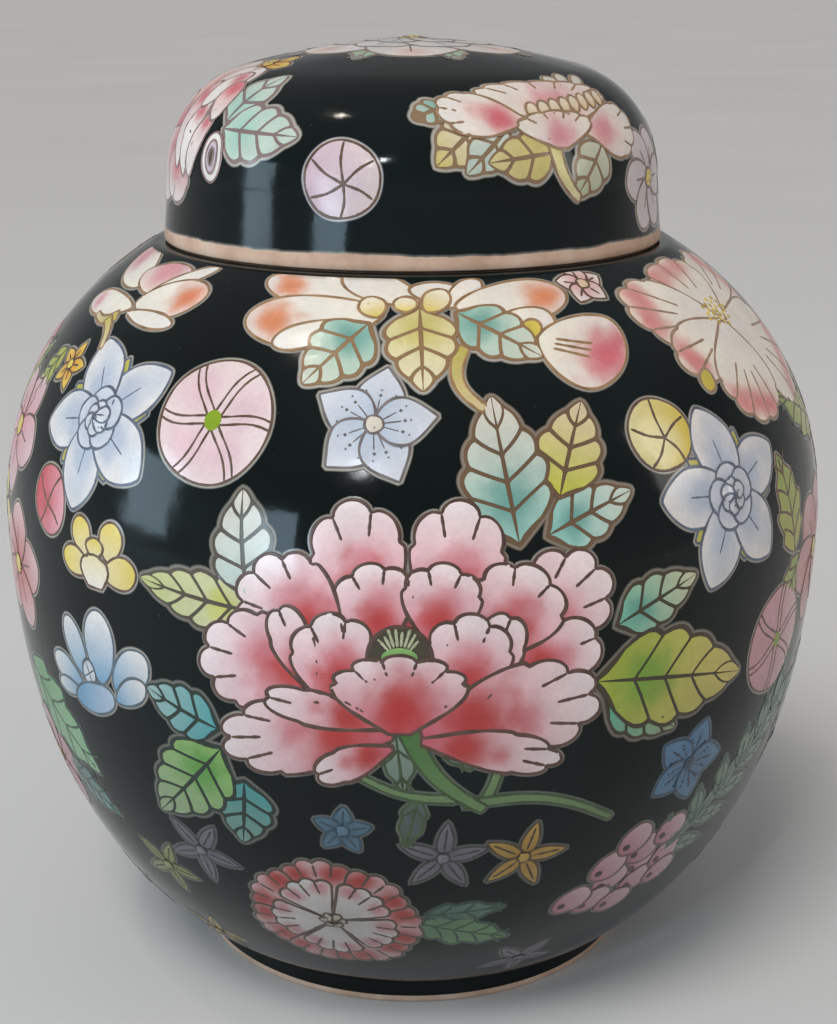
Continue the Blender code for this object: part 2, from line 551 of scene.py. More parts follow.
def area_of(points):
    following = np.roll(points, -1, axis=0)
    return 0.5 * float(np.sum(points[:, 0] * following[:, 1] - following[:, 0] * points[:, 1]))


def bulged(points):
    """A closed outline from corners (x, y, bulge). A bulge bows the side that follows out, as an arc."""
    corners = np.array([p[:2] for p in points], float)
    outward = 1.0 if area_of(corners) > 0 else -1.0
    outline = []
    for i, corner in enumerate(corners):
        end = corners[(i + 1) % len(corners)]
        bulge = points[i][2] if len(points[i]) > 2 else 0.0
        outline.append(corner)
        if abs(bulge) < 0.02:
            continue
        half = (end - corner) / 2
        across = np.array([half[1], -half[0]]) * outward
        angle = 2 * math.atan(bulge)
        steps = max(3, int(abs(bulge) * 14))
        radius = 1 / math.sin(angle)
        for k in range(1, steps):
            a = -angle + 2 * angle * k / steps
            along = radius * math.sin(a)
            off = radius * (math.cos(a) - math.cos(angle))
            outline.append((corner + end) / 2 + half * along + across * off)
    return np.array(outline)


def curve_through(points, closed=False, density=8):
    """A smooth curve through a few points."""
    p = np.array(points, float)
    if closed:
        p = np.vstack([p[-1:], p, p[:2]])
    else:
        p = np.vstack([2 * p[:1] - p[1:2], p, 2 * p[-1:] - p[-2:-1]])
    made = []
    for i in range(1, len(p) - 2):
        a, b, c, d = p[i - 1 : i + 3]
        for t in np.arange(density) / density:
            made.append(0.5 * (2 * b + (c - a) * t + (2 * a - 5 * b + 4 * c - d) * t * t
                               + (3 * b - a - 3 * c + d) * t**3))
    if not closed:
        made.append(p[-2])
    return np.array(made)


def petal(length, width, widest=0.55, tip=0.6, base=0.6, bend=0.0, count=22):
    """A petal outline from the origin up. tip and base are 0.5 for round and 1 for pointed ends."""
    t = (1 - np.cos(np.linspace(0, math.pi, count))) / 2
    low = np.sin(np.clip(t / widest, 0, 1) * math.pi / 2) ** base
    high = np.sin(np.clip((1 - t) / (1 - widest), 0, 1) * math.pi / 2) ** tip
    half = width / 2 * np.where(t < widest, low, high)
    side = bend * length * t * t
    right = np.stack([side + half, t * length], axis=1)
    left = np.stack([side - half, t * length], axis=1)[::-1]
    return np.vstack([right, left[1:-1]])


def round_outline(width, height, wobble=0.0, seed=0, count=48):
    phase = random.Random(seed).uniform(0, 6.28)
    a = np.linspace(0, 2 * math.pi, count, endpoint=False)
    r = 1 + wobble * np.sin(3 * a + phase) + 0.6 * wobble * np.sin(5 * a + 2 * phase)
    return np.stack([width / 2 * r * np.cos(a), height / 2 * r * np.sin(a)], axis=1)


def put(points, x=0.0, y=0.0, turn=0.0, scale=1.0, squeeze=1.0):
    """Moves a drawing: scaled, squeezed across, turned anticlockwise in degrees, and shifted."""
    p = np.array(points, float) * scale
    p[:, 0] *= squeeze
    a = math.radians(turn)
    turned = np.stack([p[:, 0] * math.cos(a) - p[:, 1] * math.sin(a),
                       p[:, 0] * math.sin(a) + p[:, 1] * math.cos(a)], axis=1)
    return turned + np.array([x, y])


def inside(points, outline):
    """Which points lie inside a closed outline."""
    x, y = points[:, :1], points[:, 1:]
    ax, ay = outline.T
    bx, by = np.roll(outline, -1, axis=0).T
    crosses = (ay > y) != (by > y)
    rise = np.where(by == ay, 1.0, by - ay)
    at = (bx - ax) * (y - ay) / rise + ax
    return (crosses & (x < at)).sum(1) % 2 == 1


def outward_normals(outline):
    ahead = np.roll(outline, -1, axis=0) - np.roll(outline, 1, axis=0)
    normal = np.stack([ahead[:, 1], -ahead[:, 0]], axis=1)
    normal /= np.maximum(np.linalg.norm(normal, axis=1, keepdims=True), 1e-9)
    return normal if area_of(outline) > 0 else -normal


# ---------------------------------------------------------------- enamel laid on the porcelain

LINE_STEP = 0.42  # between points along an outline
FILL_STEP = 1.05  # between points inside a field
GROUND_LIFT = 0.045  # from the porcelain up to the first field's edge
LAYER = 0.045  # from one field up to the next that is laid over it
DOME_RUN = 0.7  # how far in from its edge a field rises to its full height
SKIRT_WIDTH = 0.05
HALO_WIDTH = 0.58
LINE_LIFT = 0.004
# The section of a line: across, as a share of half its width, and height.
LINE_SECTION = ((-1.0, -0.012), (-0.72, 0.011), (0.0, 0.024), (0.72, 0.011), (1.0, -0.012))
INK = srgb(96, 74, 60)
HALO = srgb(176, 170, 160)
GROUND = srgb(14, 21, 21)


class Canvas:
    """One painted motif: fills, their outlines and the pale halo, as one mesh on a wrapped plane."""

    def __init__(self, name, body, slot, wrap, lift=0.0, ink=INK, width=0.5, halo=HALO, mirror=1):
        self.name, self.body, self.slot, self.wrap = name, body, slot, wrap
        self.level = GROUND_LIFT + lift
        self.laid = []
        self.mirror = mirror
        self.ink, self.width, self.halo_colour = ink, width, halo
        self.points, self.faces, self.colours, self.zones = [], [], [], []
        self.count = 0
        self.random = random.Random(name)

    def add_mesh(self, points, heights, faces, colours, zone):
        flat_points = np.asarray(points, float) * np.array([self.mirror, 1.0])
        self.points.append(self.wrap(flat_points, np.asarray(heights, float)))
        self.colours.append(np.asarray(colours, float))
        self.faces.extend(tuple(i + self.count for i in face)[:: self.mirror] for face in faces)
        self.zones.extend([zone] * len(faces))
        self.count += len(points)

    def halo(self, outline, width=HALO_WIDTH):
        """A pale band outside an outline that fades into the ground."""
        normal = outward_normals(outline)
        n = len(outline)
        bands = ((-0.15, 0.030, 0.0), (width * 0.55, 0.022, 0.0), (width * 0.8, 0.012, 0.6),
                 (width, 0.004, 1.0))
        points = np.vstack([outline + normal * off for off, _, _ in bands])
        heights = np.concatenate([np.full(n, high) for _, high, _ in bands])
        colours = np.vstack([np.tile(self.halo_colour * (1 - dark) + GROUND * dark, (n, 1))
                             for _, _, dark in bands])
        faces = []
        for band in range(len(bands) - 1):
            for i in range(n):
                j = (i + 1) % n
                a, b = band * n, (band + 1) * n
                faces.append((a + i, b + i, b + j, a + j))
        if area_of(outline) < 0:
            faces = [face[::-1] for face in faces]
        self.add_mesh(points, heights, faces, colours, 0)

    def height_at(self, points):
        """How high the paint stands at each point. Each field lies over the ones laid before it."""
        height = np.full(len(points), self.level)
        painted = np.zeros(len(points), bool)
        for outline, low, high, dome in self.laid:
            near = np.flatnonzero((points > low - 0.5).all(1) & (points < high + 0.5).all(1))
            if not len(near):
                continue
            reach = np.linalg.norm(points[near][:, None] - outline[None], axis=2).min(1)
            within = inside(points[near], outline)
            own = self.level + dome * (1 - np.exp(-reach / DOME_RUN)) * within
            over = np.where(painted[near], np.maximum(own, height[near] + LAYER), own)
            covered = within | (reach < FILL_STEP)
            height[near] = np.where(covered, over, height[near])
            painted[near] |= covered
        return height

    def fill(self, outline, paint, halo=True, ink=True, dome=0.05, width=None, colour=None):
        """Lays one field of enamel: a halo, a softly domed fill with a skirt, and a raised outline."""
        outline = resampled(np.asarray(outline, float), LINE_STEP, True)
        if halo:
            self.halo(outline)
        n = len(outline)
        low, high = outline.min(0), outline.max(0)
        self.laid.append((outline, low, high, dome))
        size = max(high - low)
        step = min(FILL_STEP, max(0.35, size / 6))
        grid_x = np.arange(low[0], high[0], step)
        grid_y = np.arange(low[1], high[1], step * 0.87)
        gx, gy = np.meshgrid(grid_x, grid_y)
        gx = gx + (np.arange(len(grid_y)) % 2)[:, None] * step / 2
        free = np.stack([gx.ravel(), gy.ravel()], axis=1)
        free = free[inside(free, outline)] if len(free) else free
        if len(free):
            gaps = np.linalg.norm(free[:, None] - outline[None], axis=2).min(1)
            free = free[gaps > min(step, LINE_STEP) * 0.6]
        every = np.vstack([outline, free])
        loop = [(i, (i + 1) % n) for i in range(n)]
        made = delaunay_2d_cdt([Vector(p) for p in every], loop, [list(range(n))], 1, 1e-7)
        flat = np.array([tuple(v) for v in made[0]])
        faces = [tuple(f) for f in made[2]]
        if not faces:
            return
        heights = self.height_at(flat)
        faces = [f if area_of(flat[list(f)]) > 0 else f[::-1] for f in faces]
        self.add_mesh(flat, heights, faces, paint(flat), 0)
        normal = outward_normals(outline)
        skirt = np.vstack([outline, outline + normal * SKIRT_WIDTH])
        rise = np.concatenate([self.height_at(outline), np.full(n, 0.0)])
        edge = paint(outline)
        around = [(i, n + i, n + (i + 1) % n, (i + 1) % n) for i in range(n)]
        if area_of(outline) < 0:
            around = [face[::-1] for face in around]
        self.add_mesh(skirt, rise, around, np.vstack([edge, edge * 0.6]), 0)
        if ink:
            self.line(outline, width or self.width, closed=True, colour=colour, taper=False)

    def line(self, path, width=None, closed=False, colour=None, taper=True):
        """A raised brush line with a rounded section and a slightly uneven width."""
        path = np.asarray(path, float)
        path = resampled(path, LINE_STEP, closed)
        n = len(path)
        width = width or self.width
        ahead = np.roll(path, -1, axis=0) - np.roll(path, 1, axis=0)
        if not closed:
            ahead[0] = path[1] - path[0]
            ahead[-1] = path[-1] - path[-2]
        ahead /= np.maximum(np.linalg.norm(ahead, axis=1, keepdims=True), 1e-9)
        across = np.stack([ahead[:, 1], -ahead[:, 0]], axis=1)
        phase = self.random.uniform(0, 6.28)
        run = np.arange(n) / max(n, 1) * 2 * math.pi
        turns = max(2, round(n * LINE_STEP / 9))
        uneven = (1 + 0.14 * np.sin(turns * run + phase)
                  + 0.07 * np.sin((2 * turns + 1) * run + 2.3 * phase))
        half = width / 2 * uneven
        if taper and not closed:
            end = np.minimum(np.arange(n), np.arange(n)[::-1]) * LINE_STEP
            half = half * np.clip(0.6 + end / 1.0, 0, 1)
        base = self.height_at(path) + LINE_LIFT
        points = np.vstack([path + across * (half * k)[:, None] for k, _ in LINE_SECTION])
        heights = np.concatenate([base + high for _, high in LINE_SECTION])
        tone = self.ink if colour is None else colour
        tint = 1 + 0.12 * np.sin(1.7 * run * turns + phase)
        colours = np.vstack([tone[None] * tint[:, None]] * len(LINE_SECTION))
        faces = []
        for k in range(len(LINE_SECTION) - 1):
            for i in range(n if closed else n - 1):
                j = (i + 1) % n
                a, b = k * n, (k + 1) * n
                faces.append((a + i, a + j, b + j, b + i)[::-1])
        self.add_mesh(points, heights, faces, colours, 1)

    def dot(self, x, y, size, colour=None):
        self.fill(put(round_outline(size, size, count=12), x, y),
                  flat(self.ink if colour is None else colour),
                  halo=False, ink=False, dome=0.02)

    def finish(self):
        mesh = bpy.data.meshes.new(self.name)
        mesh.from_pydata(np.vstack(self.points).tolist(), [], self.faces)
        mesh.materials.append(PAINTED)
        mesh.materials.append(LINES)
        mesh.polygons.foreach_set("material_index", self.zones)
        colours = np.clip(np.vstack(self.colours), 0, 1)
        layer = mesh.color_attributes.new("paint", "FLOAT_COLOR", "POINT")
        opaque = np.hstack([colours, np.ones((len(colours), 1))])
        layer.data.foreach_set("color", opaque.astype(np.float32).ravel())
        mesh.shade_smooth()
        mesh.update()
        piece = bpy.data.objects.new(self.name, mesh)
        bpy.context.scene.collection.objects.link(piece)
        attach(piece, self.body)
        return piece


# ---------------------------------------------------------------- paint


def flat(colour):
    return lambda points: np.tile(colour, (len(points), 1))


def wash(start, end, near, far, power=1.0, blobs=()):
    """Colour near at start turning to far at end, with soft blobs (x, y, radius, colour, strength)."""
    a, b = np.array(start, float), np.array(end, float)
    along = (b - a) / max(np.dot(b - a, b - a), 1e-9)

    def paint(points):
        t = np.clip((points - a) @ along, 0, 1)[:, None] ** power
        made = np.asarray(near) * (1 - t) + np.asarray(far) * t
        for x, y, radius, colour, strength in blobs:
            gap = np.hypot(points[:, 0] - x, points[:, 1] - y) / radius
            uneven = np.array([noise.noise(Vector((px * 0.5, py * 0.5, x))) for px, py in points])
            share = (strength * np.exp(-((gap * (0.92 + 0.4 * uneven)) ** 3)))[:, None]
            made = made * (1 - share) + np.asarray(colour) * share
        return made

    return paint


GLAZE = white_glaze()
BISCUIT = biscuit()
PAINTED = painted_enamel()
LINES = ink_enamel()

# Shares that the petals and leaves are drawn with.
SHOULDER = 0.62  # how far up a scalloped petal its sides end and its fingers begin
NOTCH = 0.2  # how deep the notches between its fingers are, as a share of its reach
FOOT_SHARE = 0.16  # how wide a scalloped petal is at its foot, as a share of its width
VEIN_SWEEP = 0.16  # how far towards the tip a vein runs on its way to a leaf's edge

CREAM = srgb(246, 238, 222)
WHITE = srgb(240, 233, 228)
PINK = srgb(224, 146, 156)
ROSE = srgb(214, 84, 104)
RED = srgb(192, 34, 24)
SALMON = srgb(232, 158, 136)
BLUE = srgb(126, 158, 200)
SKY = srgb(186, 200, 218)
MIST = srgb(216, 218, 226)
AQUA = srgb(160, 204, 190)
TEAL = srgb(72, 150, 142)
OLIVE = srgb(200, 186, 92)
GREEN = srgb(84, 146, 66)
YELLOW = srgb(232, 206, 92)
ORANGE = srgb(224, 140, 58)


def front_wrap(surface, azimuth, length, stretch=1.13, sag=0.0032):
    """Lays a wide drawing, made as seen from straight in front, on the round wall."""
    turn = math.radians(azimuth)

    def wrap(points, lift):
        x, y = points[:, 0], points[:, 1]
        up = np.clip(length + stretch * y - sag * (x * x + y * y), 0.05, surface.lengths[-1])
        return surface.place(turn + np.arcsin(np.clip(x / surface.radius(up), -0.98, 0.98)), up, lift)

    return wrap


def leaf_half(width, t):
    """Half a leaf's width at a share t of its length."""
    return width / 2 * np.sin(math.pi * t**0.75) ** 0.85


def leaf_outline(length, width, lobes, depth=0.3, bend=0.0, count=64):
    """A leaf from its stalk at the origin up to a point, its sides cut into forward-pointing lobes."""
    t = np.linspace(0, 1, count)
    half = leaf_half(width, t)
    if lobes:
        place = (t * (lobes + 0.6)) % 1.0
        half = half * (1 - depth + depth * np.minimum(place / 0.72, (1 - place) / 0.28) ** 0.8)
    spine = bend * length * t * t
    forward = t * length
    right = np.stack([spine + half, forward], axis=1)
    left = np.stack([spine - half, forward], axis=1)[::-1]
    return np.vstack([right, left[1:-1]])


def leaf(canvas, x, y, turn, length, width, near, far, lobes=3, veins=4, bend=0.0, depth=0.3, halo=True,
         blobs=()):
    outline = put(leaf_outline(length, width, lobes, depth, bend), x, y, turn)
    tip = put([(bend * length, length)], x, y, turn)[0]
    shade = wash((x, y), tip, near, far, 0.8, [(x + (tip[0] - x) * 0.25, y + (tip[1] - y) * 0.25,
                                                width * 0.3, near * 0.7, 0.35), *blobs])
    canvas.fill(outline, shade, halo=halo, dome=0.04)
    spine = [(bend * length * t * t, length * t) for t in np.linspace(0.0, 0.94, 9)]
    canvas.line(put(spine, x, y, turn))
    for k in range(veins):
        t = 0.16 + 0.62 * k / max(1, veins - 1)
        half = leaf_half(width, t)
        for side in (-1, 1):
            vein = [
                (bend * length * t * t, length * t),
                (bend * length * (t + 0.07) ** 2 + side * half * 0.42, length * (t + 0.10)),
                (bend * length * (t + 0.12) ** 2 + side * half * 0.92, length * (t + 0.175)),
            ]
            canvas.line(put(curve_through(vein, density=5), x, y, turn), canvas.width)


def round_face(canvas, x, y, size, colour=YELLOW):
    canvas.fill(put(round_outline(size, size, 0.03, 3, 20), x, y), flat(colour), halo=False, dome=0.06)


def star(canvas, tips, width, near, far, centre=1.7, widest=0.42, tip=0.95, rib=0.6, dots=0,
         middle=YELLOW, stain=None):
    """A star flower: a ribbed petal from the origin out to each tip, and a round middle."""
    for x, y in tips:
        length = math.hypot(x, y)
        turn = math.degrees(math.atan2(y, x)) - 90
        shape = put(petal(length, width, widest, tip, 0.6), turn=turn)
        paint = wash((0, 0), (x, y), near, far, 0.9)
        if stain is not None:
            paint = wash((0, 0), (x, y), near, far, 0.9,
                         [(x * 0.62, y * 0.62, length * 0.26, stain, 0.5)])
        canvas.fill(shape, paint)
        if rib:
            canvas.line([(x * 0.22, y * 0.22), (x * rib, y * rib)], canvas.width * 0.9)
        for k in range(dots):
            across = (k - (dots - 1) / 2) * width * 0.2
            ax, ay = -y / length, x / length
            reach = 0.42 - 0.05 * abs(k - (dots - 1) / 2)
            canvas.line([(ax * across * 0.4 + x * 0.15, ay * across * 0.4 + y * 0.15),
                         (ax * across + x * reach, ay * across + y * reach)], canvas.width * 0.55)
            canvas.dot(ax * across * 1.1 + x * (reach + 0.06), ay * across * 1.1 + y * (reach + 0.06),
                       0.55)
            canvas.dot(ax * across * 1.5 + x * (reach + 0.15), ay * across * 1.5 + y * (reach + 0.15),
                       0.38)
    if centre:
        round_face(canvas, 0, 0, centre * 1.5, middle)


def lotus(canvas, tips, width, size=5.2, leaves=True):
    """A pale blue lotus: green leaflets, long petals, two rings of short ones and a dot in the middle."""
    count = len(tips)
    order = sorted(tips, key=lambda p: math.atan2(p[1], p[0]))
    if leaves:
        for k in range(count):
            a = math.atan2(order[k][1], order[k][0])
            b = math.atan2(order[(k + 1) % count][1], order[(k + 1) % count][0])
            if b < a:
                b += 2 * math.pi
            middle = math.degrees((a + b) / 2) - 90
            shape = put(petal(size * 2.05, 3.6, 0.6, 0.9), turn=middle + 5)
            canvas.fill(shape, wash((0, 0), put([(0, size * 2)], turn=middle)[0], GREEN, OLIVE))
    for x, y in tips:
        length = math.hypot(x, y)
        turn = math.degrees(math.atan2(y, x)) - 90
        lean = 0.06 if x > 0 else -0.06
        shape = put(petal(length, width, 0.55, 0.72, 0.55, lean), turn=turn)
        stain = [(x * 0.4, y * 0.4, length * 0.22, BLUE, 0.5),
                 (x * 0.75 + 1, y * 0.75, length * 0.2, SKY, 0.5)]
        canvas.fill(shape, wash((0, 0), (x, y), MIST, WHITE * 0.97, 0.6, stain))
        canvas.line(put([(0, length * 0.3), (lean * length * 0.3, length * 0.62)], turn=turn),
                    canvas.width * 0.6)
    for k in range(5):
        turn = 72 * k + 10
        shape = put(petal(size, size * 1.02, 0.62, 0.5, 0.5), turn=turn)
        canvas.fill(shape, wash((0, 0), put([(0, size)], turn=turn)[0], BLUE * 0.95, MIST, 0.45),
                    halo=False)
    for k in range(6):
        turn = 60 * k
        shape = put(petal(size * 0.55, size * 0.5, 0.6, 0.5, 0.5), turn=turn)
        canvas.fill(shape, flat(MIST * 0.95), halo=False, dome=0.03)
    canvas.dot(0, 0, size * 0.22)


def morning_glory(canvas, width, height, ribs, turn=0.0, near=srgb(236, 212, 212),
                  far=srgb(240, 222, 222), eye=srgb(140, 168, 40),
                  edge=srgb(230, 178, 196), eye_size=2.7):
    """A round flower seen from in front: paired curved ribs, like spokes, run from an eye to the rim."""
    rim = round_outline(width, height, 0.012, 5)
    stains = [(width * 0.3 * math.cos(a), height * 0.3 * math.sin(a), width * 0.16, edge, 0.45)
              for a in (0.4, 2.2, 4.0, 5.3)]
    canvas.fill(rim, wash((0, 0), (width / 2, 0), near, far, 1.0, stains), dome=0.08)
    for k in range(ribs):
        a = math.radians(turn + 360 * k / ribs)
        for side in (-1, 1):
            spoke = []
            for t in np.linspace(0.04, 1.0, 8):
                b = a + 0.14 * math.sin(t * 3.0)
                shift = side * 0.034 * width
                spoke.append((width / 2 * t * math.cos(b) - shift * math.sin(a),
                              height / 2 * t * math.sin(b) + shift * math.cos(a)))
            canvas.line(spoke, canvas.width * 0.85)
    if eye is not None:
        canvas.fill(round_outline(eye_size, eye_size * 1.15, count=14), flat(eye), halo=False,
                    ink=False, dome=0.06)


def round_bud(canvas, width, height, lines, near, far, turn=0.0):
    """A closed round bud, its petals marked by curved lines from the stalk end."""
    shape = put(round_outline(width, height, 0.015, 2), turn=turn)
    root = put([(-width * 0.05, -height * 0.05)], turn=turn)[0]
    canvas.fill(shape, wash((-width / 2, 0), (width / 2, 0), near, far, 1.0,
                            [(root[0], root[1], width * 0.22, near * 0.85, 0.5)]), dome=0.12)
    for k in range(lines):
        a = math.radians(turn + 360 * (k + 0.25) / lines)
        c = a + 0.12
        curve = [root, (root[0] * 0.5 + 0.26 * width * math.cos(c),
                        root[1] * 0.5 + 0.26 * height * math.sin(c)),
                 (0.48 * width * math.cos(a), 0.48 * height * math.sin(a))]
        canvas.line(curve_through(curve, density=6), canvas.width * 0.95)


def frilled(length, width, fingers=3, depth=NOTCH, foot=FOOT_SHARE, bend=0.0):
    """A petal from its foot at the origin up. Its far edge is an arc cut into rounded fingers."""
    shoulder = SHOULDER * length
    rise = np.linspace(0, 1, 14)
    side = width / 2 * (foot + (1 - foot) * np.sin(rise * math.pi / 2) ** 1.1)
    right = np.stack([side, rise * shoulder], axis=1)
    a = np.linspace(0, math.pi, 10 * fingers + 1)[1:-1]
    reach = 1 - depth * (1 - np.abs(np.sin(a * fingers)) ** 0.6)
    top = np.stack([width / 2 * reach * np.cos(a), shoulder + (length - shoulder) * reach * np.sin(a)],
                   axis=1)
    outline = np.vstack([right, top, right[::-1] * np.array([-1, 1])])
    outline[:, 0] += bend * length * (outline[:, 1] / length) ** 2
    return outline


def frill_petal(canvas, x, y, turn, length, width, fingers, near, far, stain=None, bend=0.0, halo=True,
                depth=NOTCH):
    """One scalloped petal, with a short line running in from each notch and a stain near its foot."""
    tip = put([(bend * length, length)], x, y, turn)[0]
    stains = []
    if stain is not None:
        root, middle = put([(0, 0.3 * length), (0.08 * width, 0.56 * length)], x, y, turn)
        stains = [(*middle, 0.2 * width, stain * 0.5 + near * 0.5, 0.6),
                  (*root, 0.25 * (length + width) / 2, stain, 0.9)]
    canvas.fill(put(frilled(length, width, fingers, depth, FOOT_SHARE, bend), x, y, turn),
                wash((x, y), tip, near, far, 1.0, stains), halo=halo, dome=0.07)
    shoulder = SHOULDER * length
    for k in range(1, fingers):
        a = math.pi * k / fingers
        high = shoulder + (length - shoulder) * (1 - depth) * math.sin(a)
        notch = np.array([width / 2 * (1 - depth) * math.cos(a) + bend * length * (high / length) ** 2,
                          high])
        inward = notch + (np.array([0.0, 0.3 * length]) - notch) * 0.28
        canvas.line(put([notch, inward], x, y, turn), canvas.width * 0.9)


def plain_petal(canvas, x, y, turn, length, width, near, far, spot=None, bend=0.0, tip=0.6, widest=0.55,
                halo=True):
    """One smooth petal, with an optional spot of colour near its tip."""
    end = put([(bend * length, length)], x, y, turn)[0]
    place = put([(bend * length * 0.6, 0.78 * length)], x, y, turn)[0]
    stains = [] if spot is None else [(*place, width * 0.36, spot, 0.9)]
    canvas.fill(put(petal(length, width, widest, tip, 0.6, bend), x, y, turn),
                wash((x, y), end, near, far, 1.0, stains), halo=halo, dome=0.06)


def on_leaf(length, width, bend, side, along, across):
    """A place on a leaf: along from stalk to tip, across from midrib to edge, swept like its veins."""
    at = np.clip(along + VEIN_SWEEP * across, 0, 1)
    half = leaf_half(width, at)
    return np.stack([bend * length * at * at + side * across * half, length * at], axis=-1)


def celled_leaf(canvas, x, y, turn, length, width, near, far, cells=4, bend=0.0, stain=None):
    """A leaf of enamel cells set apart by broad lines. Its ground is line colour and each lobe a cell."""
    joints = 0.95 * (np.arange(cells + 1) / cells) ** 0.9
    edge = []
    for side in (1, -1):
        run = []
        for start, end in zip(joints[:-1], joints[1:]):
            share = np.linspace(0, 1, 7)[:-1]
            run.append(on_leaf(length, width, bend, side, start + (end - start) * share,
                               0.9 + 0.16 * np.sin(math.pi * share)))
        run = np.vstack([[(0.0, 0.0)], *run])
        edge.append(run if side > 0 else run[:0:-1])
    ground = np.vstack([edge[0], [(bend * length, length)], edge[1]])
    ground = resampled(ground, LINE_STEP, True)
    ground = ground + outward_normals(ground) * 0.28
    canvas.fill(put(ground, x, y, turn), flat(canvas.ink), ink=False, dome=0.03)
    tip = put([(bend * length, length)], x, y, turn)[0]
    root = put([(0, 0.3 * length)], x, y, turn)[0]
    stains = [] if stain is None else [(*root, 0.3 * width, stain, 0.7)]
    paint = wash((x, y), tip, near, far, 1.0, stains)
    gap = 0.32 / length
    inner = min(0.3, 0.7 / width)
    for side in (1, -1):
        for start, end in zip(joints[:-1], joints[1:]):
            low, high = start + gap, end - gap
            out = np.linspace(inner, 0.86, 4)
            back = np.linspace(0, 1, 5)
            corners = np.vstack([
                on_leaf(length, width, bend, side, low + (high - low) * back, inner + 0 * back),
                on_leaf(length, width, bend, side, high + 0 * out, out)[1:],
                on_leaf(length, width, bend, side, high + (low - high) * back,
                        0.86 + 0.14 * np.sin(math.pi * back))[1:],
                on_leaf(length, width, bend, side, low + 0 * out, out[::-1])[1:-1],
            ])
            corners = corners[np.linalg.norm(corners - np.roll(corners, 1, axis=0), axis=1) > 0.12]
            if len(corners) > 5 and abs(area_of(corners)) > 0.8:
                canvas.fill(put(corners, x, y, turn), paint, halo=False, ink=False, dome=0.07)


def shoot(canvas, start, end, bow, thick, thin, near, far):
    """A stalk from start to end that bows sideways by a share of its length and thins towards its end."""
    a, b = np.array(start, float), np.array(end, float)
    t = np.linspace(0, 1, 20)[:, None]
    across = np.array([a[1] - b[1], b[0] - a[0]])
    path = a + (b - a) * t + across * bow * np.sin(math.pi * t)
    ahead = np.gradient(path, axis=0)
    ahead /= np.linalg.norm(ahead, axis=1, keepdims=True)
    half = np.stack([ahead[:, 1], -ahead[:, 0]], axis=1) * (thick + (thin - thick) * t) / 2
    canvas.fill(np.vstack([path + half, (path - half)[::-1]]), wash(a, b, near, far), dome=0.1)


def peony(name, azimuth, length, mirror=1):
    """The big pink peony seen from the side. Its petals fan out from the origin in two layers."""
    wrap = front_wrap(JAR_SIDE, azimuth, length)
    canvas = Canvas(name, "jar_body", "jar_porcelain", wrap, lift=0.14, width=0.54,
                    ink=srgb(84, 62, 54), mirror=mirror)
    top, foot = srgb(250, 236, 236), srgb(226, 122, 144)
    canvas.fill(put(round_outline(30, 20), 0, 12), flat(srgb(190, 70, 78)), halo=False, ink=False,
                dome=0.0)
    # foot x and y, turn, length, width, fingers
    behind = (
        (-4, 13, 8, 20, 13, 3), (7, 13, -4, 20, 13, 3), (13, 10, -45, 21, 14, 4), (16, 9, -66, 13, 9, 2),
        (13, 11, -24, 14, 13, 3), (-2, 12, 12, 12, 11, 3), (5, 12, -6, 12, 11, 3),
        (-8, 11, 46, 18, 14, 4), (-9, 7, 74, 20, 14, 4), (-12, 6, 22, 13, 6, 2), (11, 5, -20, 13, 7, 2),
        (-8, 3, 8, 14, 12, 3), (9, 3, -4, 14, 12, 3),
    )
    for x, y, turn, long, wide, fingers in behind:
        frill_petal(canvas, x, y, turn, long, wide, fingers, foot, top, RED)
    stigma(canvas)
    before = (
        (3, 0, -76, 26, 13, 4), (3, -1, -97, 20, 6, 3), (-1, 0, 92, 25, 11, 4), (-1, -2, 110, 12, 5, 2),
        (-2, 1, 76, 18, 5, 2), (0, 0, 0, 11, 19, 5),
    )
    for x, y, turn, long, wide, fingers in before:
        frill_petal(canvas, x, y, turn, long, wide, fingers, srgb(214, 100, 118), top, RED)
    canvas.finish()


def stigma(canvas):
    """The peony's green heart with its fan of stamens."""
    canvas.fill(put(round_outline(9, 9), 0, 10.5), flat(srgb(72, 66, 50)), halo=False, dome=0.02)
    for k in range(8):
        a = math.radians(38 + 15 * k)
        reach = 3.3 + 0.4 * (k % 3)
        bar = [(1.9 * math.cos(a), 10.8 + 1.4 * math.sin(a)),
               (reach * math.cos(a), 11 + reach * math.sin(a))]
        canvas.line(bar, 0.42, colour=srgb(168, 172, 140))
    canvas.fill(put(petal(2.6, 5, 0.5, 0.5), 0, 9.4), wash((0, 9), (0, 12), GREEN, srgb(150, 196, 116)),
                halo=False, ink=False, dome=0.04)


peony("peony_front", -1.5, 64)


def jar_canvas(name, azimuth, length, lift=0.0, ink=INK, width=0.46, halo=HALO, mirror=1):
    wrap = side_wrap(JAR_SIDE, azimuth, length)
    return Canvas(name, "jar_body", "jar_porcelain", wrap, lift, ink=ink, width=width, halo=halo,
                  mirror=mirror)


def lid_canvas(name, azimuth, length, lift=0.0, ink=INK, width=0.46, halo=HALO, mirror=1):
    wrap = side_wrap(LID_SIDE, azimuth, length)
    return Canvas(name, "lid_body", "lid_porcelain", wrap, lift, ink=ink, width=width, halo=halo,
                  mirror=mirror)


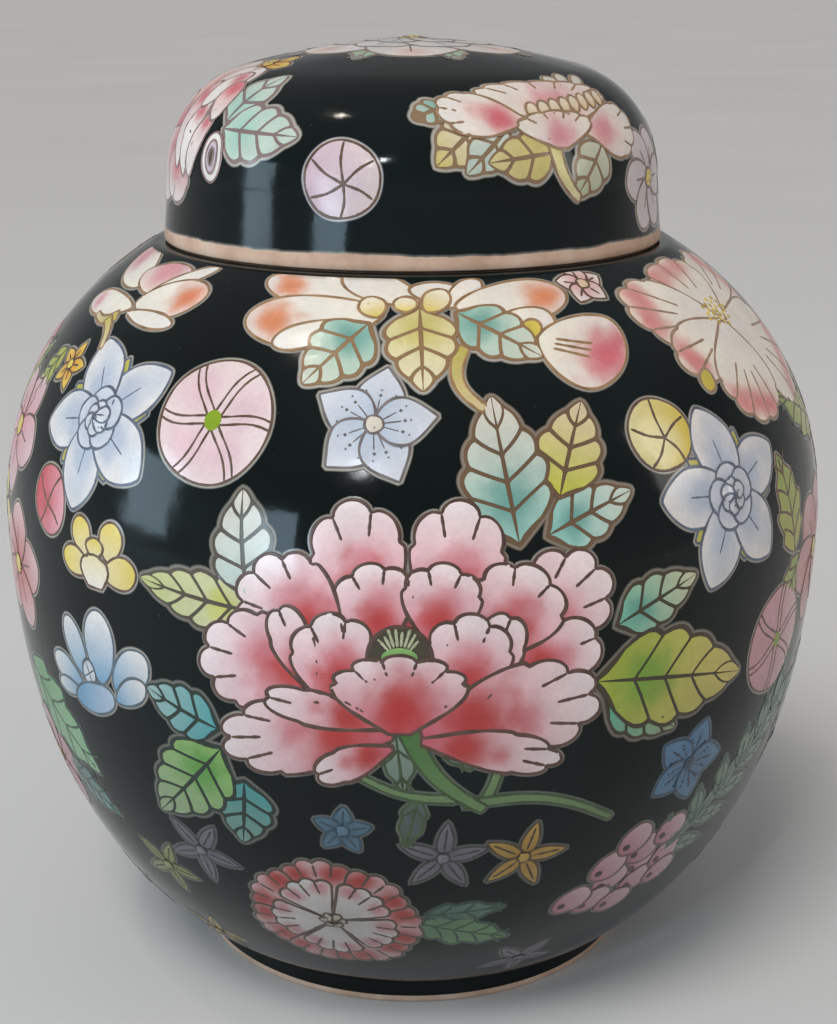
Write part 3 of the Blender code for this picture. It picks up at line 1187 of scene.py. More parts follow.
def magnolia(name, azimuth, length, mirror=1):
    """The shoulder's wide magnolia: cream petals, three celled leaves, a bud and a stalk."""
    canvas = jar_canvas(name, azimuth, length, lift=0.06, ink=srgb(150, 118, 84), mirror=mirror)
    spot = srgb(226, 128, 70)
    # foot x and y, turn, length, width, bend, spot
    petals = (
        (-4, 9, 84, 18, 7, 0.0, spot), (1, 8, 60, 12, 6, -0.1, None), (3, 8, 0, 4, 7, 0.0, None),
        (5, 7, -40, 7, 4, 0.0, None), (6, 7, -82, 17, 8, 0.08, spot),
        (13, 5, -106, 8, 5, 0.0, None), (-4, 6, 99, 21, 9, 0.0, spot),
        (-9, 4, 112, 12, 4, 0.0, None), (18, 1, -110, 15, 12, 0.0, ROSE),
    )
    for x, y, turn, long, wide, bend, tone in petals:
        plain_petal(canvas, x, y, turn, long, wide, CREAM, WHITE, tone, bend, 0.5, 0.62)
    for k in range(3):
        canvas.line(put([(0.8 * k - 0.8, 1.5), (1.1 * k - 1.1, 7.5)], 19, 0, -106), canvas.width)
    canvas.fill(put(round_outline(3.1, 3.3), 17, 2.4), wash((16, 2), (18, 3), OLIVE * 0.9, YELLOW),
                halo=False)
    shoot(canvas, (7, 0), (10, -10), -0.22, 2.0, 1.2, OLIVE, srgb(216, 196, 152))
    celled_leaf(canvas, -6, 4, 138, 14, 9, AQUA, srgb(220, 222, 204), 4, 0.0, TEAL)
    celled_leaf(canvas, 6, 6, -124, 15, 8, AQUA, srgb(222, 224, 208), 4, 0.0, TEAL)
    celled_leaf(canvas, 1, 7, -178, 14, 10, srgb(224, 212, 150), srgb(236, 226, 190), 4, 0.0, OLIVE)
    for x, y, turn, long, wide in ((-5, 5, 18, 4, 4), (-1, 6, 0, 3, 3.4), (2, 6, -30, 5, 4)):
        plain_petal(canvas, x, y, turn, long, wide, YELLOW, CREAM, tip=0.5)
    canvas.finish()


def left_magnolia(name, azimuth, length, mirror=1):
    """A magnolia seen from the side, one petal with an orange spot."""
    canvas = jar_canvas(name, azimuth, length, lift=0.03, ink=srgb(140, 112, 86), mirror=mirror)
    petals = (
        (-3, 4, 64, 14, 8, 0.0, PINK), (1, 3, 10, 7, 12, 0.0, PINK), (1, 3, -50, 12, 3, 0.0, None),
        (0, 0, 95, 16, 5, 0.0, PINK), (0, 1, -74, 14, 8, 0.0, srgb(226, 120, 62)),
        (0, -1, -92, 12, 3, 0.0, None),
    )
    for x, y, turn, long, wide, bend, tone in petals:
        plain_petal(canvas, x, y, turn, long, wide, CREAM, WHITE, tone, bend, 0.5, 0.62)
    shoot(canvas, (-2, -2), (-9, -3), 0.15, 2.0, 1.0, OLIVE, srgb(224, 206, 170))
    shoot(canvas, (-4, -3), (0, -8), 0.1, 1.8, 1.0, OLIVE, srgb(224, 206, 170))
    canvas.finish()


def white_peony(name, azimuth, length, mirror=1):
    """The large white peony of the right shoulder, its petal edges blushed with red."""
    canvas = jar_canvas(name, azimuth, length, lift=0.05, ink=srgb(150, 124, 104), mirror=mirror)
    blush = srgb(216, 96, 104)
    # turn, length, width, fingers
    for turn, long, wide, fingers in ((-66, 22, 15, 4), (-120, 24, 19, 5), (8, 14, 19, 4),
                                      (70, 20, 14, 4), (106, 18, 10, 3), (164, 17, 17, 5)):
        shape = put(frilled(long, wide, fingers, 0.14), 0, 0, turn)
        tip = put([(0, long)], turn=turn)[0]
        stains = []
        for k in range(fingers - 1):
            across = (k - (fingers - 2) / 2) / fingers
            stains.append((*put([(across * wide, 0.82 * long)], turn=turn)[0], 2.4, blush, 0.7))
        canvas.fill(shape, wash((0, 0), tip, WHITE, CREAM, 1.0, stains), dome=0.06)
        for k in range(1, fingers):
            a = math.pi * k / fingers
            edge = [0.42 * wide * math.cos(a), long * (SHOULDER + 0.32 * math.sin(a))]
            canvas.line(put([edge, [edge[0] * 0.45, edge[1] * 0.55]], turn=turn), canvas.width)
    plain_petal(canvas, -13, -6, 150, 4, 3, OLIVE, YELLOW * 0.9)
    for k in range(26):
        a = k * 2.4
        r = 0.55 * math.sqrt(k)
        canvas.dot(1.0 + 1.5 * r * math.cos(a), 2.0 + r * math.sin(a), 0.75,
                   YELLOW * (0.7 + 0.3 * (k % 2)))
    canvas.finish()


def bowl_flower(name, azimuth, length, mirror=1):
    """A blue and white flower seen from the side, like a small crocus."""
    canvas = jar_canvas(name, azimuth, length, ink=srgb(84, 96, 104), mirror=mirror)
    deep = srgb(120, 172, 206)
    for x, y, turn, long, wide in ((-3, -2, 24, 10, 5), (-4, -4, 70, 9, 5), (1, -2, -2, 12, 7),
                                   (4, -2, -46, 10, 6), (4, -4, -56, 8, 4), (-5, -5, 92, 7, 3)):
        plain_petal(canvas, x, y, turn, long, wide, deep, WHITE, tip=0.5, widest=0.6)
    canvas.fill(put(round_outline(3.2, 4.6), -2, -1), flat(MIST), halo=False)
    for k in range(4):
        a = math.pi / 2 * k + 0.4
        canvas.line([(-2, -1), (-2 + 1.4 * math.cos(a), -1 + 2.1 * math.sin(a))], canvas.width * 0.6)
    canvas.fill(put(round_outline(10.5, 5.2, 0.02), -1.5, -5, 15), wash((-5, -3), (3, -4), deep, SKY))
    canvas.finish()


def yellow_lotus(name, azimuth, length):
    """A small yellow lotus seen from the side, its cup in front."""
    canvas = jar_canvas(name, azimuth, length)
    pale = srgb(236, 220, 176)
    for x, y, turn, long, wide in ((-3, -1, 24, 6, 4.5), (2, -1, -8, 6, 5), (-1, -1, 0, 3, 4),
                                   (-2, -3, 80, 7, 4.5), (1, -3, -78, 7, 5)):
        plain_petal(canvas, x, y, turn, long, wide, pale, YELLOW, tip=0.5, widest=0.6)
    canvas.fill(put(frilled(5, 6.5, 3, 0.12, 0.5), -1, -5.5), wash((-1, -1), (-1, -5), pale, CREAM),
                dome=0.06)
    canvas.finish()


def fan(length, spread, teeth, depth=0.35):
    """A carnation petal: a wedge from the origin up, its far edge cut into rounded teeth."""
    corners = [(0.0, 0.0, 0.0)]
    half = math.radians(spread / 2)
    for k in range(teeth + 1):
        a = -half + 2 * half * k / teeth
        reach = length * (1 - 0.10 * abs(2 * k / teeth - 1) ** 2)
        corners.append((reach * math.sin(a), reach * math.cos(a), depth * 1.6 if k < teeth else 0.0))
    return bulged(corners)


def dianthus(name, azimuth, length, size=13.0, edge=RED, turn=8.0):
    """A carnation of two rings of toothed petals, red outside and white within."""
    canvas = jar_canvas(name, azimuth, length, ink=srgb(74, 60, 52), halo=srgb(130, 128, 120))
    for k in range(7):
        at = turn + 360 / 7 * k
        direction = put([(0, size)], turn=at)[0]
        stains = [(*put([(side * size * 0.24, size * 0.82)], turn=at)[0], size * 0.19, edge, 0.95)
                  for side in (-1, 1)]
        canvas.fill(put(fan(size, 54, 4, 0.42), turn=at),
                    wash((0, 0), direction, WHITE, srgb(232, 196, 196), 1.0, stains))
        for side in (-1, 0, 1):
            canvas.line(put([(side * size * 0.22, size * 0.97), (side * size * 0.17, size * 0.78)],
                            turn=at))
    for k in range(5):
        at = turn + 20 + 72 * k
        direction = put([(0, size * 0.66)], turn=at)[0]
        stains = [(*put([(side * size * 0.2, size * 0.58)], turn=at)[0], size * 0.12, ROSE, 0.7)
                  for side in (-1, 1)]
        canvas.fill(put(fan(size * 0.72, 66, 4, 0.42), turn=at),
                    wash((0, 0), direction, srgb(206, 196, 190), WHITE, 0.8, stains), halo=False)
        for side in (-1, 0, 1):
            canvas.line(put([(side * size * 0.20, size * 0.70), (side * size * 0.14, size * 0.48)],
                            turn=at))
    for k in range(6):
        a = 1.05 * k
        canvas.fill(put(round_outline(1.6, 1.3), 1.3 * math.cos(a), 1.1 * math.sin(a), 60 * k),
                    flat(srgb(196, 190, 170)), halo=False)
    canvas.finish()


def berries(name, azimuth, length):
    """Pink berries with a dark eye, as they hang in a bunch."""
    canvas = jar_canvas(name, azimuth, length, ink=srgb(92, 74, 70), halo=srgb(130, 126, 118))
    deep, pale = srgb(206, 132, 148), srgb(238, 206, 210)
    for k in range(12):
        # A sunflower spiral packs them evenly, stretched along the way the bunch hangs.
        around, out = 2.4 * k, 2.5 * math.sqrt(k + 0.5)
        x, y = put([(1.35 * out * math.cos(around), 0.85 * out * math.sin(around))], 3, 0, 35)[0]
        turn = 35 + canvas.random.uniform(-12, 12)
        low_end, high_end = put([(-3.2, 0), (3.2, 0)], x, y, turn)
        canvas.fill(put(round_outline(6.8, 5.4, 0.02), x, y, turn), wash(low_end, high_end, deep, pale),
                    dome=0.1)
        canvas.dot(*put([(-1.9, 0.2)], x, y, turn)[0], 1.3, srgb(70, 44, 48))
    canvas.finish()


def lobed_leaves():
    """The celled leaves round the front peony, in four groups."""
    teal_far, olive = srgb(214, 222, 210), srgb(200, 202, 66)
    # name, azimuth, length, ink, and leaves: foot x and y, turn, length, width, near, far, stain
    groups = (
        ("leaf_upper_right", 10, 98, srgb(116, 92, 70), (
            (7, -6, -66, 14, 8, srgb(150, 208, 200), teal_far, TEAL),
            (9, -1, -16, 14, 10, olive, srgb(228, 206, 176), None),
            (3, -7, 10, 21, 12, srgb(158, 208, 198), srgb(226, 214, 202), TEAL),
        )),
        ("leaf_upper_left", -22, 90, srgb(88, 80, 68), (
            (5, -9, 87, 20, 8, srgb(214, 212, 180), srgb(204, 208, 140), olive),
            (3, -7, 10, 15, 9, srgb(190, 208, 200), srgb(222, 216, 206), None),
        )),
        ("leaf_right", 34, 75, srgb(70, 60, 40), (
            (-12, -8, -116, 15, 8, srgb(96, 186, 156), srgb(160, 176, 140), None),
            (-11, 3, -66, 15, 8, srgb(120, 196, 170), srgb(206, 204, 170), TEAL),
            (-14, -5, -96, 29, 15, srgb(168, 184, 60), srgb(220, 200, 116), srgb(84, 156, 44)),
        )),
        ("leaf_lower_left", -31, 60, srgb(42, 58, 50), (
            (11, -6, 172, 12, 9, srgb(76, 164, 164), srgb(136, 172, 156), None),
            (8, 2, 74, 13, 8, srgb(76, 168, 172), srgb(166, 194, 190), None),
            (8, -1, 140, 20, 12, srgb(150, 196, 108), srgb(168, 186, 150), srgb(70, 156, 48)),
        )),
    )
    for name, azimuth, length, ink, leaves in groups:
        canvas = jar_canvas(name, azimuth, length, lift=0.02, ink=ink, halo=HALO * 0.35 + ink * 0.65)
        for x, y, turn, long, wide, near, far, stain in leaves:
            celled_leaf(canvas, x, y, turn, long, wide, near, far, 5 if long > 17 else 4, 0.06, stain)
        canvas.finish()


def stems():
    """The peony's stalk and its side shoots, with two grey-green leaves behind."""
    canvas = jar_canvas("peony_stem", -1.5, 55, lift=0.05, ink=srgb(58, 74, 48), halo=srgb(120, 128, 116))
    leaf(canvas, -1, 13, 186, 14, 6, srgb(150, 170, 150), srgb(120, 140, 130), lobes=3, veins=3)
    leaf(canvas, 4, 12, 214, 11, 5.5, srgb(150, 166, 146), srgb(120, 140, 130), lobes=3, veins=3)
    leaf(canvas, 2.5, -2, 168, 9, 4, srgb(96, 116, 108), srgb(84, 100, 96), lobes=2, veins=2)
    pale, deep = srgb(120, 150, 100), srgb(70, 120, 56)
    shoot(canvas, (-6, 2), (8, -2), -0.08, 1.0, 1.5, pale, pale)
    shoot(canvas, (14, 3), (11, -4), 0.06, 1.3, 1.5, pale, pale)
    shoot(canvas, (9, -3), (32, -9), 0.12, 1.6, 1.1, pale, pale)
    shoot(canvas, (1, 10), (12, -4), -0.1, 3.0, 1.5, deep, pale)
    canvas.finish()


def fern(name, azimuth, length):
    """Thin grey-green leaves along a stalk on the right-hand edge."""
    canvas = jar_canvas(name, azimuth, length, ink=srgb(64, 84, 74), halo=srgb(110, 122, 112))
    near, far = srgb(104, 138, 120), srgb(150, 172, 150)
    for k in range(6):
        x, y = -8.0 + 4.4 * k, -9.0 + 3.6 * k
        leaf(canvas, x, y, -104 + 7 * k, 10.5, 3.4, near, far, lobes=0, veins=3)
        leaf(canvas, x, y, -42 + 5 * k, 12.0, 2.6, near, far, lobes=0, veins=0)
        leaf(canvas, x, y, 20 - 6 * k, 8.0, 3.6, near, far, lobes=2, veins=2)
    canvas.line(curve_through([(-9, -10), (4, 0.6), (17, 12)]), 0.6, colour=srgb(96, 128, 108))
    canvas.finish()


def small_flower(name, azimuth, length, tips, width, near, far, **settings):
    """One star flower as a piece of its own."""
    ink = settings.pop("ink", INK)
    halo = settings.pop("halo", HALO)
    canvas = jar_canvas(name, azimuth, length, ink=ink, width=settings.pop("line", 0.42), halo=halo)
    star(canvas, tips, width, near, far, **settings)
    canvas.finish()


def star_tips(count, reach, start):
    """Evenly spaced tips, the first at an angle in degrees."""
    return [(reach * math.cos(math.radians(start + 360 * k / count)),
             reach * math.sin(math.radians(start + 360 * k / count)))
            for k in range(count)]


def blue_star(name, azimuth, length, first):
    """The wide pale blue star with three stamens on each petal."""
    small_flower(name, azimuth, length, star_tips(5, 9, first), 7.0, SKY, srgb(222, 222, 230),
                 centre=1.7, rib=0.0, dots=3, middle=srgb(226, 216, 200), widest=0.42, tip=1.15,
                 ink=srgb(112, 104, 104))


def glory(name, azimuth, length, width, height, ribs=6, turn=0.0, **settings):
    canvas = jar_canvas(name, azimuth, length)
    morning_glory(canvas, width, height, ribs, turn, **settings)
    canvas.finish()


def bud(name, azimuth, length, width, height, lines, near, far, turn=0.0, make=jar_canvas, halo=HALO):
    canvas = make(name, azimuth, length, halo=halo)
    round_bud(canvas, width, height, lines, near, far, turn)
    canvas.finish()


def lotus_flower(name, azimuth, length, tips, width=9.0, size=5.0):
    canvas = jar_canvas(name, azimuth, length, lift=0.02, ink=srgb(92, 100, 116))
    lotus(canvas, tips, width, size)
    canvas.finish()


def single_leaf(name, azimuth, length, turn, long, wide, near, far, lobes=3, veins=4, bend=0.0,
                make=jar_canvas, ink=INK, halo=HALO):
    canvas = make(name, azimuth, length, ink=ink, halo=halo)
    leaf(canvas, 0, 0, turn, long, wide, near, far, lobes, veins, bend)
    canvas.finish()


DIM = srgb(110, 112, 108)
BUD_YELLOW = (srgb(232, 222, 170), YELLOW)
BUD_RED = (RED * 0.6 + ROSE * 0.4, srgb(230, 170, 180))
LID_BUD = (srgb(206, 176, 190), srgb(226, 206, 206))


def front_of_jar():
    """The photographed side. Motifs are placed by azimuth in degrees and length up the wall."""
    lobed_leaves()
    stems()
    magnolia("magnolia_front", 0, 120)
    left_magnolia("magnolia_left", -55, 122)
    white_peony("white_peony_right", 60, 118)
    lotus_flower("lotus_left", -47, 104, star_tips(5, 14, 45))
    lotus_flower("lotus_right", 44, 93, star_tips(5, 14, 26))
    glory("morning_glory_left", -27, 107, 18, 18.5, 6, 58)
    glory("morning_glory_right", 56, 67, 17.5, 17.5, 6, 20, near=srgb(214, 160, 164),
          far=srgb(236, 206, 200), eye_size=2.2)
    blue_star("blue_star_front", -5, 108, 80)
    bud("yellow_bud", 34, 104, 10.6, 11.2, 5, *BUD_YELLOW, 75)
    bud("red_bud", -54, 90, 9.2, 10.8, 4, *BUD_RED, 30)
    yellow_lotus("yellow_lotus", -42, 85)
    bowl_flower("bowl_flower_left", -44, 66)
    small_flower("yellow_star_shoulder", -61, 110, star_tips(5, 4.6, 80), 2.6, ORANGE, YELLOW,
                 centre=1.2, rib=0.6)
    small_flower("pink_star_shoulder", 33, 130, star_tips(5, 4.2, 20), 3.6, srgb(222, 150, 152), WHITE,
                 centre=1.3, middle=srgb(226, 200, 170), rib=0.7)
    small_flower("blossom_far_left", -72, 97, star_tips(5, 11, 60), 8.5, PINK, srgb(220, 190, 196),
                 centre=2.4, widest=0.6, tip=0.6)
    small_flower("petals_low_left", -66, 76, star_tips(5, 10.5, 10), 8.5, RED, srgb(226, 190, 190),
                 centre=2.2, widest=0.6, tip=0.6)
    small_flower("blue_star_low", 39, 52, star_tips(5, 7.4, 70), 5.4, srgb(84, 124, 160),
                 srgb(96, 140, 176), centre=1.2, rib=0.7, dots=3, middle=srgb(60, 80, 96),
                 ink=srgb(50, 66, 84), halo=srgb(84, 110, 128), tip=0.85)
    # name, azimuth, length, reach, first turn, width, near, far, ink
    low = (
        ("grey_star_low", 4, 42, 7, 85, 2.5, srgb(112, 108, 122), srgb(134, 128, 138), srgb(56, 52, 54)),
        ("yellow_star_low", 15, 41, 7, 77, 2.6, srgb(190, 146, 66), srgb(206, 168, 82), srgb(70, 56, 36)),
        ("grey_star_left", -31, 38, 7, 57, 2.4, srgb(108, 106, 118), srgb(130, 126, 138),
         srgb(52, 50, 54)),
        ("green_star_left", -40, 31, 6.5, 64, 2.4, srgb(128, 142, 72), srgb(160, 168, 108),
         srgb(60, 66, 40)),
        ("small_blue_low", -9, 47, 4.6, 85, 2.7, srgb(74, 104, 126), srgb(96, 128, 148),
         srgb(44, 66, 78)),
    )
    for name, azimuth, length, reach, first, wide, near, far, ink in low:
        small_flower(name, azimuth, length, star_tips(5, reach, first), wide, near, far, centre=1.3,
                     rib=0.8, middle=far * 1.1, ink=ink, halo=DIM)
    dianthus("dianthus_front", -12, 27)
    berries("berries_right", 31, 32)
    fern("fern_right", 48, 44)
    dark = srgb(40, 66, 52)
    single_leaf("leaf_low_middle", 1, 27, -112, 15, 8.5, srgb(110, 150, 110), srgb(120, 166, 110), 3, 4,
                ink=dark, halo=srgb(84, 104, 96))
    single_leaf("leaf_low_middle_back", 2, 29, -84, 12, 5, srgb(80, 120, 104), srgb(110, 146, 130), 2,
                3, ink=dark, halo=srgb(70, 90, 84))
    single_leaf("leaf_edge_left", -66, 60, -126, 24, 14, srgb(96, 160, 96), srgb(160, 204, 160), 3, 4,
                ink=dark, halo=DIM)
    single_leaf("leaf_edge_left_low", -60, 44, -112, 15, 7, srgb(70, 110, 110), srgb(120, 160, 150), 3,
                4, ink=dark, halo=DIM)
    small_flower("blossom_edge_left", -66, 42, star_tips(5, 9.5, 20), 8.0, ROSE, srgb(206, 170, 174),
                 centre=2.0, widest=0.6, tip=0.6, halo=DIM)
    small_flower("red_flower_edge_right", 71, 77, star_tips(6, 12, 10), 9.0, RED, srgb(216, 170, 170),
                 centre=2.4, widest=0.62, tip=0.55)
    single_leaf("leaf_edge_right", 60, 80, 14, 17, 10, srgb(190, 186, 84), srgb(150, 170, 90), 3, 4)
    single_leaf("leaf_edge_right_low", 62, 79, 140, 12, 7, srgb(150, 176, 70), srgb(190, 190, 110), 3, 4)


def lid_peony(name, azimuth, length, mirror=1):
    """A peony seen from the side, over celled leaves of three colours."""
    canvas = lid_canvas(name, azimuth, length, lift=0.04, ink=srgb(146, 118, 92), mirror=mirror)
    cream, olive = srgb(240, 228, 214), srgb(206, 190, 110)
    # foot x and y, turn, length, width, near, far
    leaves = (
        (-8, 1, 130, 10, 7, cream, olive), (-4, 0, 132, 10, 6, srgb(214, 220, 206), srgb(190, 206, 196)),
        (3, -4, 96, 11, 7, olive, srgb(220, 206, 150)),
        (13, -3, 140, 10, 7, srgb(206, 206, 190), srgb(190, 196, 160)),
        (-12, 4, 112, 6, 4, TEAL * 0.6 + AQUA * 0.4, srgb(200, 212, 196)),
    )
    for x, y, turn, long, wide, near, far in leaves:
        celled_leaf(canvas, x, y, turn, long, wide, near, far, 3)
    shoot(canvas, (3, -2), (7, -11), -0.12, 2.4, 1.2, srgb(214, 200, 110), srgb(220, 212, 170))
    for x, turn in ((10.5, 0), (12.5, -50), (9, 40)):
        plain_petal(canvas, x, 7.5, turn, 3.4, 2.4, srgb(222, 218, 206), srgb(222, 218, 206), tip=0.5)
    frill_petal(canvas, 5, 0, -4, 9, 25, 7, cream, WHITE, PINK, depth=0.1)
    frill_petal(canvas, 10, -1, -92, 13, 9, 4, cream, WHITE, PINK, depth=0.12)
    frill_petal(canvas, -1, 1, 78, 13, 8, 4, cream, WHITE, ROSE, depth=0.12)
    for k in range(8):
        plain_petal(canvas, 1 + 2.1 * k, 1 + 0.25 * k, 0, 3.2, 2.1, srgb(226, 200, 150), cream,
                    tip=0.45, halo=False)
    frill_petal(canvas, 4.5, -3.5, 0, 6, 14, 5, WHITE, cream, PINK, depth=0.12)
    canvas.finish()


def lid_rose(name, azimuth, length, mirror=1):
    """A pink rose of long curled petals round a dark oval eye, over celled aqua leaves."""
    canvas = lid_canvas(name, azimuth, length, lift=0.04, ink=srgb(140, 118, 116), mirror=mirror)
    aqua, grey = srgb(190, 214, 200), srgb(200, 212, 200)
    celled_leaf(canvas, 4, 0, -20, 11, 8, aqua, grey, 3, 0.0, AQUA)
    celled_leaf(canvas, 4, -1, -92, 15, 9, aqua, grey, 4, 0.0, AQUA)
    rose, blush = srgb(232, 184, 186), srgb(206, 96, 108)
    for turn, reach, wide, tone in ((58, 18, 12, rose), (92, 19, 12, blush), (24, 18, 12, SALMON),
                                    (128, 18, 12, rose), (-8, 16, 10, rose), (166, 12, 10, blush)):
        frill_petal(canvas, -6, -2, turn, reach, wide, 2, tone, WHITE, blush, 0.12, depth=0.1)
    # The curled inner petals: foot x and y, turn, length, width, bend, colour
    curls = (
        (-8, -8, 14, 15, 5, 0.3, rose), (-5, -9, 12, 13, 4.5, 0.3, WHITE),
        (-3, -9, 4, 11, 4, 0.35, srgb(236, 206, 204)),
        (-6, 2, -24, 10, 5, 0.15, WHITE), (0, 0, 6, 8, 5, 0.1, srgb(228, 150, 150)),
    )
    for x, y, turn, long, wide, bend, tone in curls:
        plain_petal(canvas, x, y, turn, long, wide, WHITE, tone, blush, bend, 0.5, 0.6, halo=False)
    for wide, high, tone in ((5, 7.6, WHITE), (2.8, 5, srgb(206, 190, 200)),
                             (1.2, 2.8, srgb(84, 80, 72))):
        canvas.fill(put(round_outline(wide, high, 0.01), 3.2, -5.4, 8), flat(tone), halo=False, dome=0.03)
    canvas.finish()


def crown():
    """The lid's top: a wide white flower in the middle, a small yellow one and a few leaves."""
    canvas = Canvas("lid_crown_flower", "lid_body", "lid_porcelain", crown_wrap(LID_SIDE, 0, 0, 0),
                    lift=0.03, ink=srgb(140, 126, 118), width=0.46)
    for k in range(8):
        turn = 45 * k + 20
        root = put([(0, 10)], turn=turn)[0]
        leaf(canvas, root[0], root[1], turn, 10.5, 6.6, OLIVE, AQUA, 2, 3)
    # reach, width, count, first turn
    rings = ((18.5, 14.5, 6, 0), (12.5, 10.5, 6, 30), (7.6, 7.0, 5, 10))
    for ring, (reach, wide, count, offset) in enumerate(rings):
        for k in range(count):
            turn = 360 * k / count + offset
            tip = put([(0, reach)], turn=turn)[0]
            canvas.fill(put(petal(reach, wide, 0.62, 0.42, 0.6), turn=turn),
                        wash((0, 0), tip, srgb(206, 204, 214), WHITE, 0.8,
                             [(*(tip * 0.85), 2.4, SALMON if ring == 0 else SKY, 0.45)]), halo=ring == 0)
            canvas.line(put([(0.5, reach * 0.45), (0.2, reach * 0.85)], turn=turn), canvas.width * 0.8)
    round_face(canvas, 0, 0, 4.6, srgb(226, 206, 140))
    for k in range(9):
        canvas.dot(1.4 * math.cos(0.7 * k), 1.4 * math.sin(0.7 * k), 0.7)
    canvas.finish()
    canvas = Canvas("lid_crown_yellow", "lid_body", "lid_porcelain", crown_wrap(LID_SIDE, -61, 25.5, 0),
                    ink=INK, width=0.42)
    star(canvas, star_tips(5, 5.2, 20), 3.6, ORANGE, YELLOW, centre=1.3, widest=0.55, tip=0.6)
    canvas.finish()


def front_of_lid():
    """The lid's flowers on the photographed side, and its crown."""
    lid_rose("lid_rose", -55, 20)
    lid_peony("lid_peony", 28, 20)
    bud("lid_bud", -15, 12.6, 11.2, 11.4, 6, srgb(214, 186, 200), srgb(230, 212, 212), 75,
        make=lid_canvas, halo=srgb(196, 190, 192))
    canvas = lid_canvas("lid_flower_right", 67, 10.5, ink=srgb(128, 112, 106))
    star(canvas, star_tips(6, 8.5, 60), 6.4, srgb(206, 190, 196), srgb(226, 214, 216), centre=2.0,
         widest=0.6, tip=0.5)
    canvas.finish()
    crown()


front_of_jar()
front_of_lid()


def back_of_jar():
    """The side the photograph doesn't show, filled with the same flowers in another order."""
    peony("peony_back", 178, 65, mirror=-1)
    magnolia("magnolia_back", 176, 120, mirror=-1)
    left_magnolia("magnolia_back_right", 124, 122, mirror=-1)
    left_magnolia("magnolia_side_left", -106, 122)
    white_peony("white_peony_back", 236, 118, mirror=-1)
    lotus_flower("lotus_back_right", 127, 98, star_tips(5, 14, 80))
    lotus_flower("lotus_back_left", -131, 92, star_tips(5, 13.5, 60))
    glory("morning_glory_back", 151, 107, 18.4, 18.8, 6, 30)
    glory("morning_glory_back_left", -152, 104, 17, 17, 6, 10)
    glory("morning_glory_side_left", -92, 62, 18, 18, 6, 40, near=srgb(222, 178, 180),
          far=srgb(228, 196, 194))
    blue_star("blue_star_back", 174, 108, 84)
    bud("yellow_bud_back", -172, 100, 10.4, 11, 5, *BUD_YELLOW, 40)
    bud("yellow_bud_side", 103, 112, 10, 10.6, 5, *BUD_YELLOW, 120)
    bud("red_bud_back", 104, 66, 9.2, 10.8, 4, *BUD_RED, 60)
    bud("red_bud_side", -84, 108, 9.2, 10.6, 4, *BUD_RED, 10)
    dianthus("dianthus_side_right", 92, 90, 15.5, ROSE, 20)
    dianthus("dianthus_side_left", -100, 90, 15.5, ROSE, 50)
    dianthus("dianthus_back", 170, 27, 13, RED, 30)
    dianthus("dianthus_low_right", 84, 30, 12.5, RED, 10)
    dianthus("dianthus_low_left", -96, 28, 12.5, RED, 40)
    yellow_lotus("yellow_lotus_back", 131, 76)
    yellow_lotus("yellow_lotus_side", -78, 84)
    bowl_flower("bowl_flower_back", 138, 58, mirror=-1)
    bowl_flower("bowl_flower_side", -122, 64)
    berries("berries_back", -142, 34)
    fern("fern_back", -122, 44)
    greens = ((srgb(190, 186, 84), srgb(150, 170, 90)), (srgb(140, 196, 182), srgb(206, 212, 200)),
              (srgb(110, 160, 84), srgb(168, 200, 152)))
    leaves = ((79, 96, 60, 19, 11), (81, 84, 120, 17, 10), (104, 98, -50, 19, 11),
              (104, 84, -120, 18, 10), (-113, 96, 60, 18, 11), (-112, 82, 130, 17, 10),
              (-88, 98, -50, 18, 10), (-88, 84, -115, 16, 9), (152, 82, 60, 22, 12),
              (150, 66, 110, 20, 11), (-153, 80, -60, 21, 12), (-154, 62, -110, 20, 11),
              (116, 80, 20, 16, 9), (74, 60, 150, 17, 9), (86, 60, -150, 17, 9), (-112, 52, 170, 15, 8),
              (150, 34, 70, 15, 8), (-172, 22, -100, 15, 8), (100, 38, -60, 15, 8),
              (-80, 40, -60, 15, 8), (-111, 36, 70, 15, 8), (-66, 112, 150, 12, 6), (79, 114, 170, 13, 7))
    for k, (azimuth, length, turn, long, wide) in enumerate(leaves):
        near, far = greens[k % 3]
        single_leaf(f"leaf_back_{k + 1}", azimuth, length, turn, long, wide, near, far, 3, 4,
                    0.08 * (k % 3 - 1), ink=srgb(74, 84, 66))
    tones = ((srgb(124, 120, 134), srgb(146, 140, 150)), (srgb(206, 160, 76), srgb(222, 184, 92)),
             (srgb(90, 122, 144), srgb(112, 144, 164)), (srgb(140, 156, 80), srgb(176, 184, 120)))
    for k, (azimuth, length) in enumerate(((70, 44), (106, 48), (122, 42), (136, 38), (156, 45),
                                           (188, 46), (-155, 42), (-128, 28), (-112, 46), (-84, 48),
                                           (-72, 32), (118, 24), (150, 16), (-150, 18), (66, 20),
                                           (-60, 16), (20, 12), (-40, 12), (112, 116), (-140, 112),
                                           (142, 88))):
        near, far = tones[k % 4]
        small_flower(f"small_star_{k + 1}", azimuth, length, star_tips(5, 6.6, 17 * k), 2.6, near, far,
                     centre=1.3, rib=0.75, middle=near * 1.1, ink=srgb(56, 52, 54), halo=DIM)


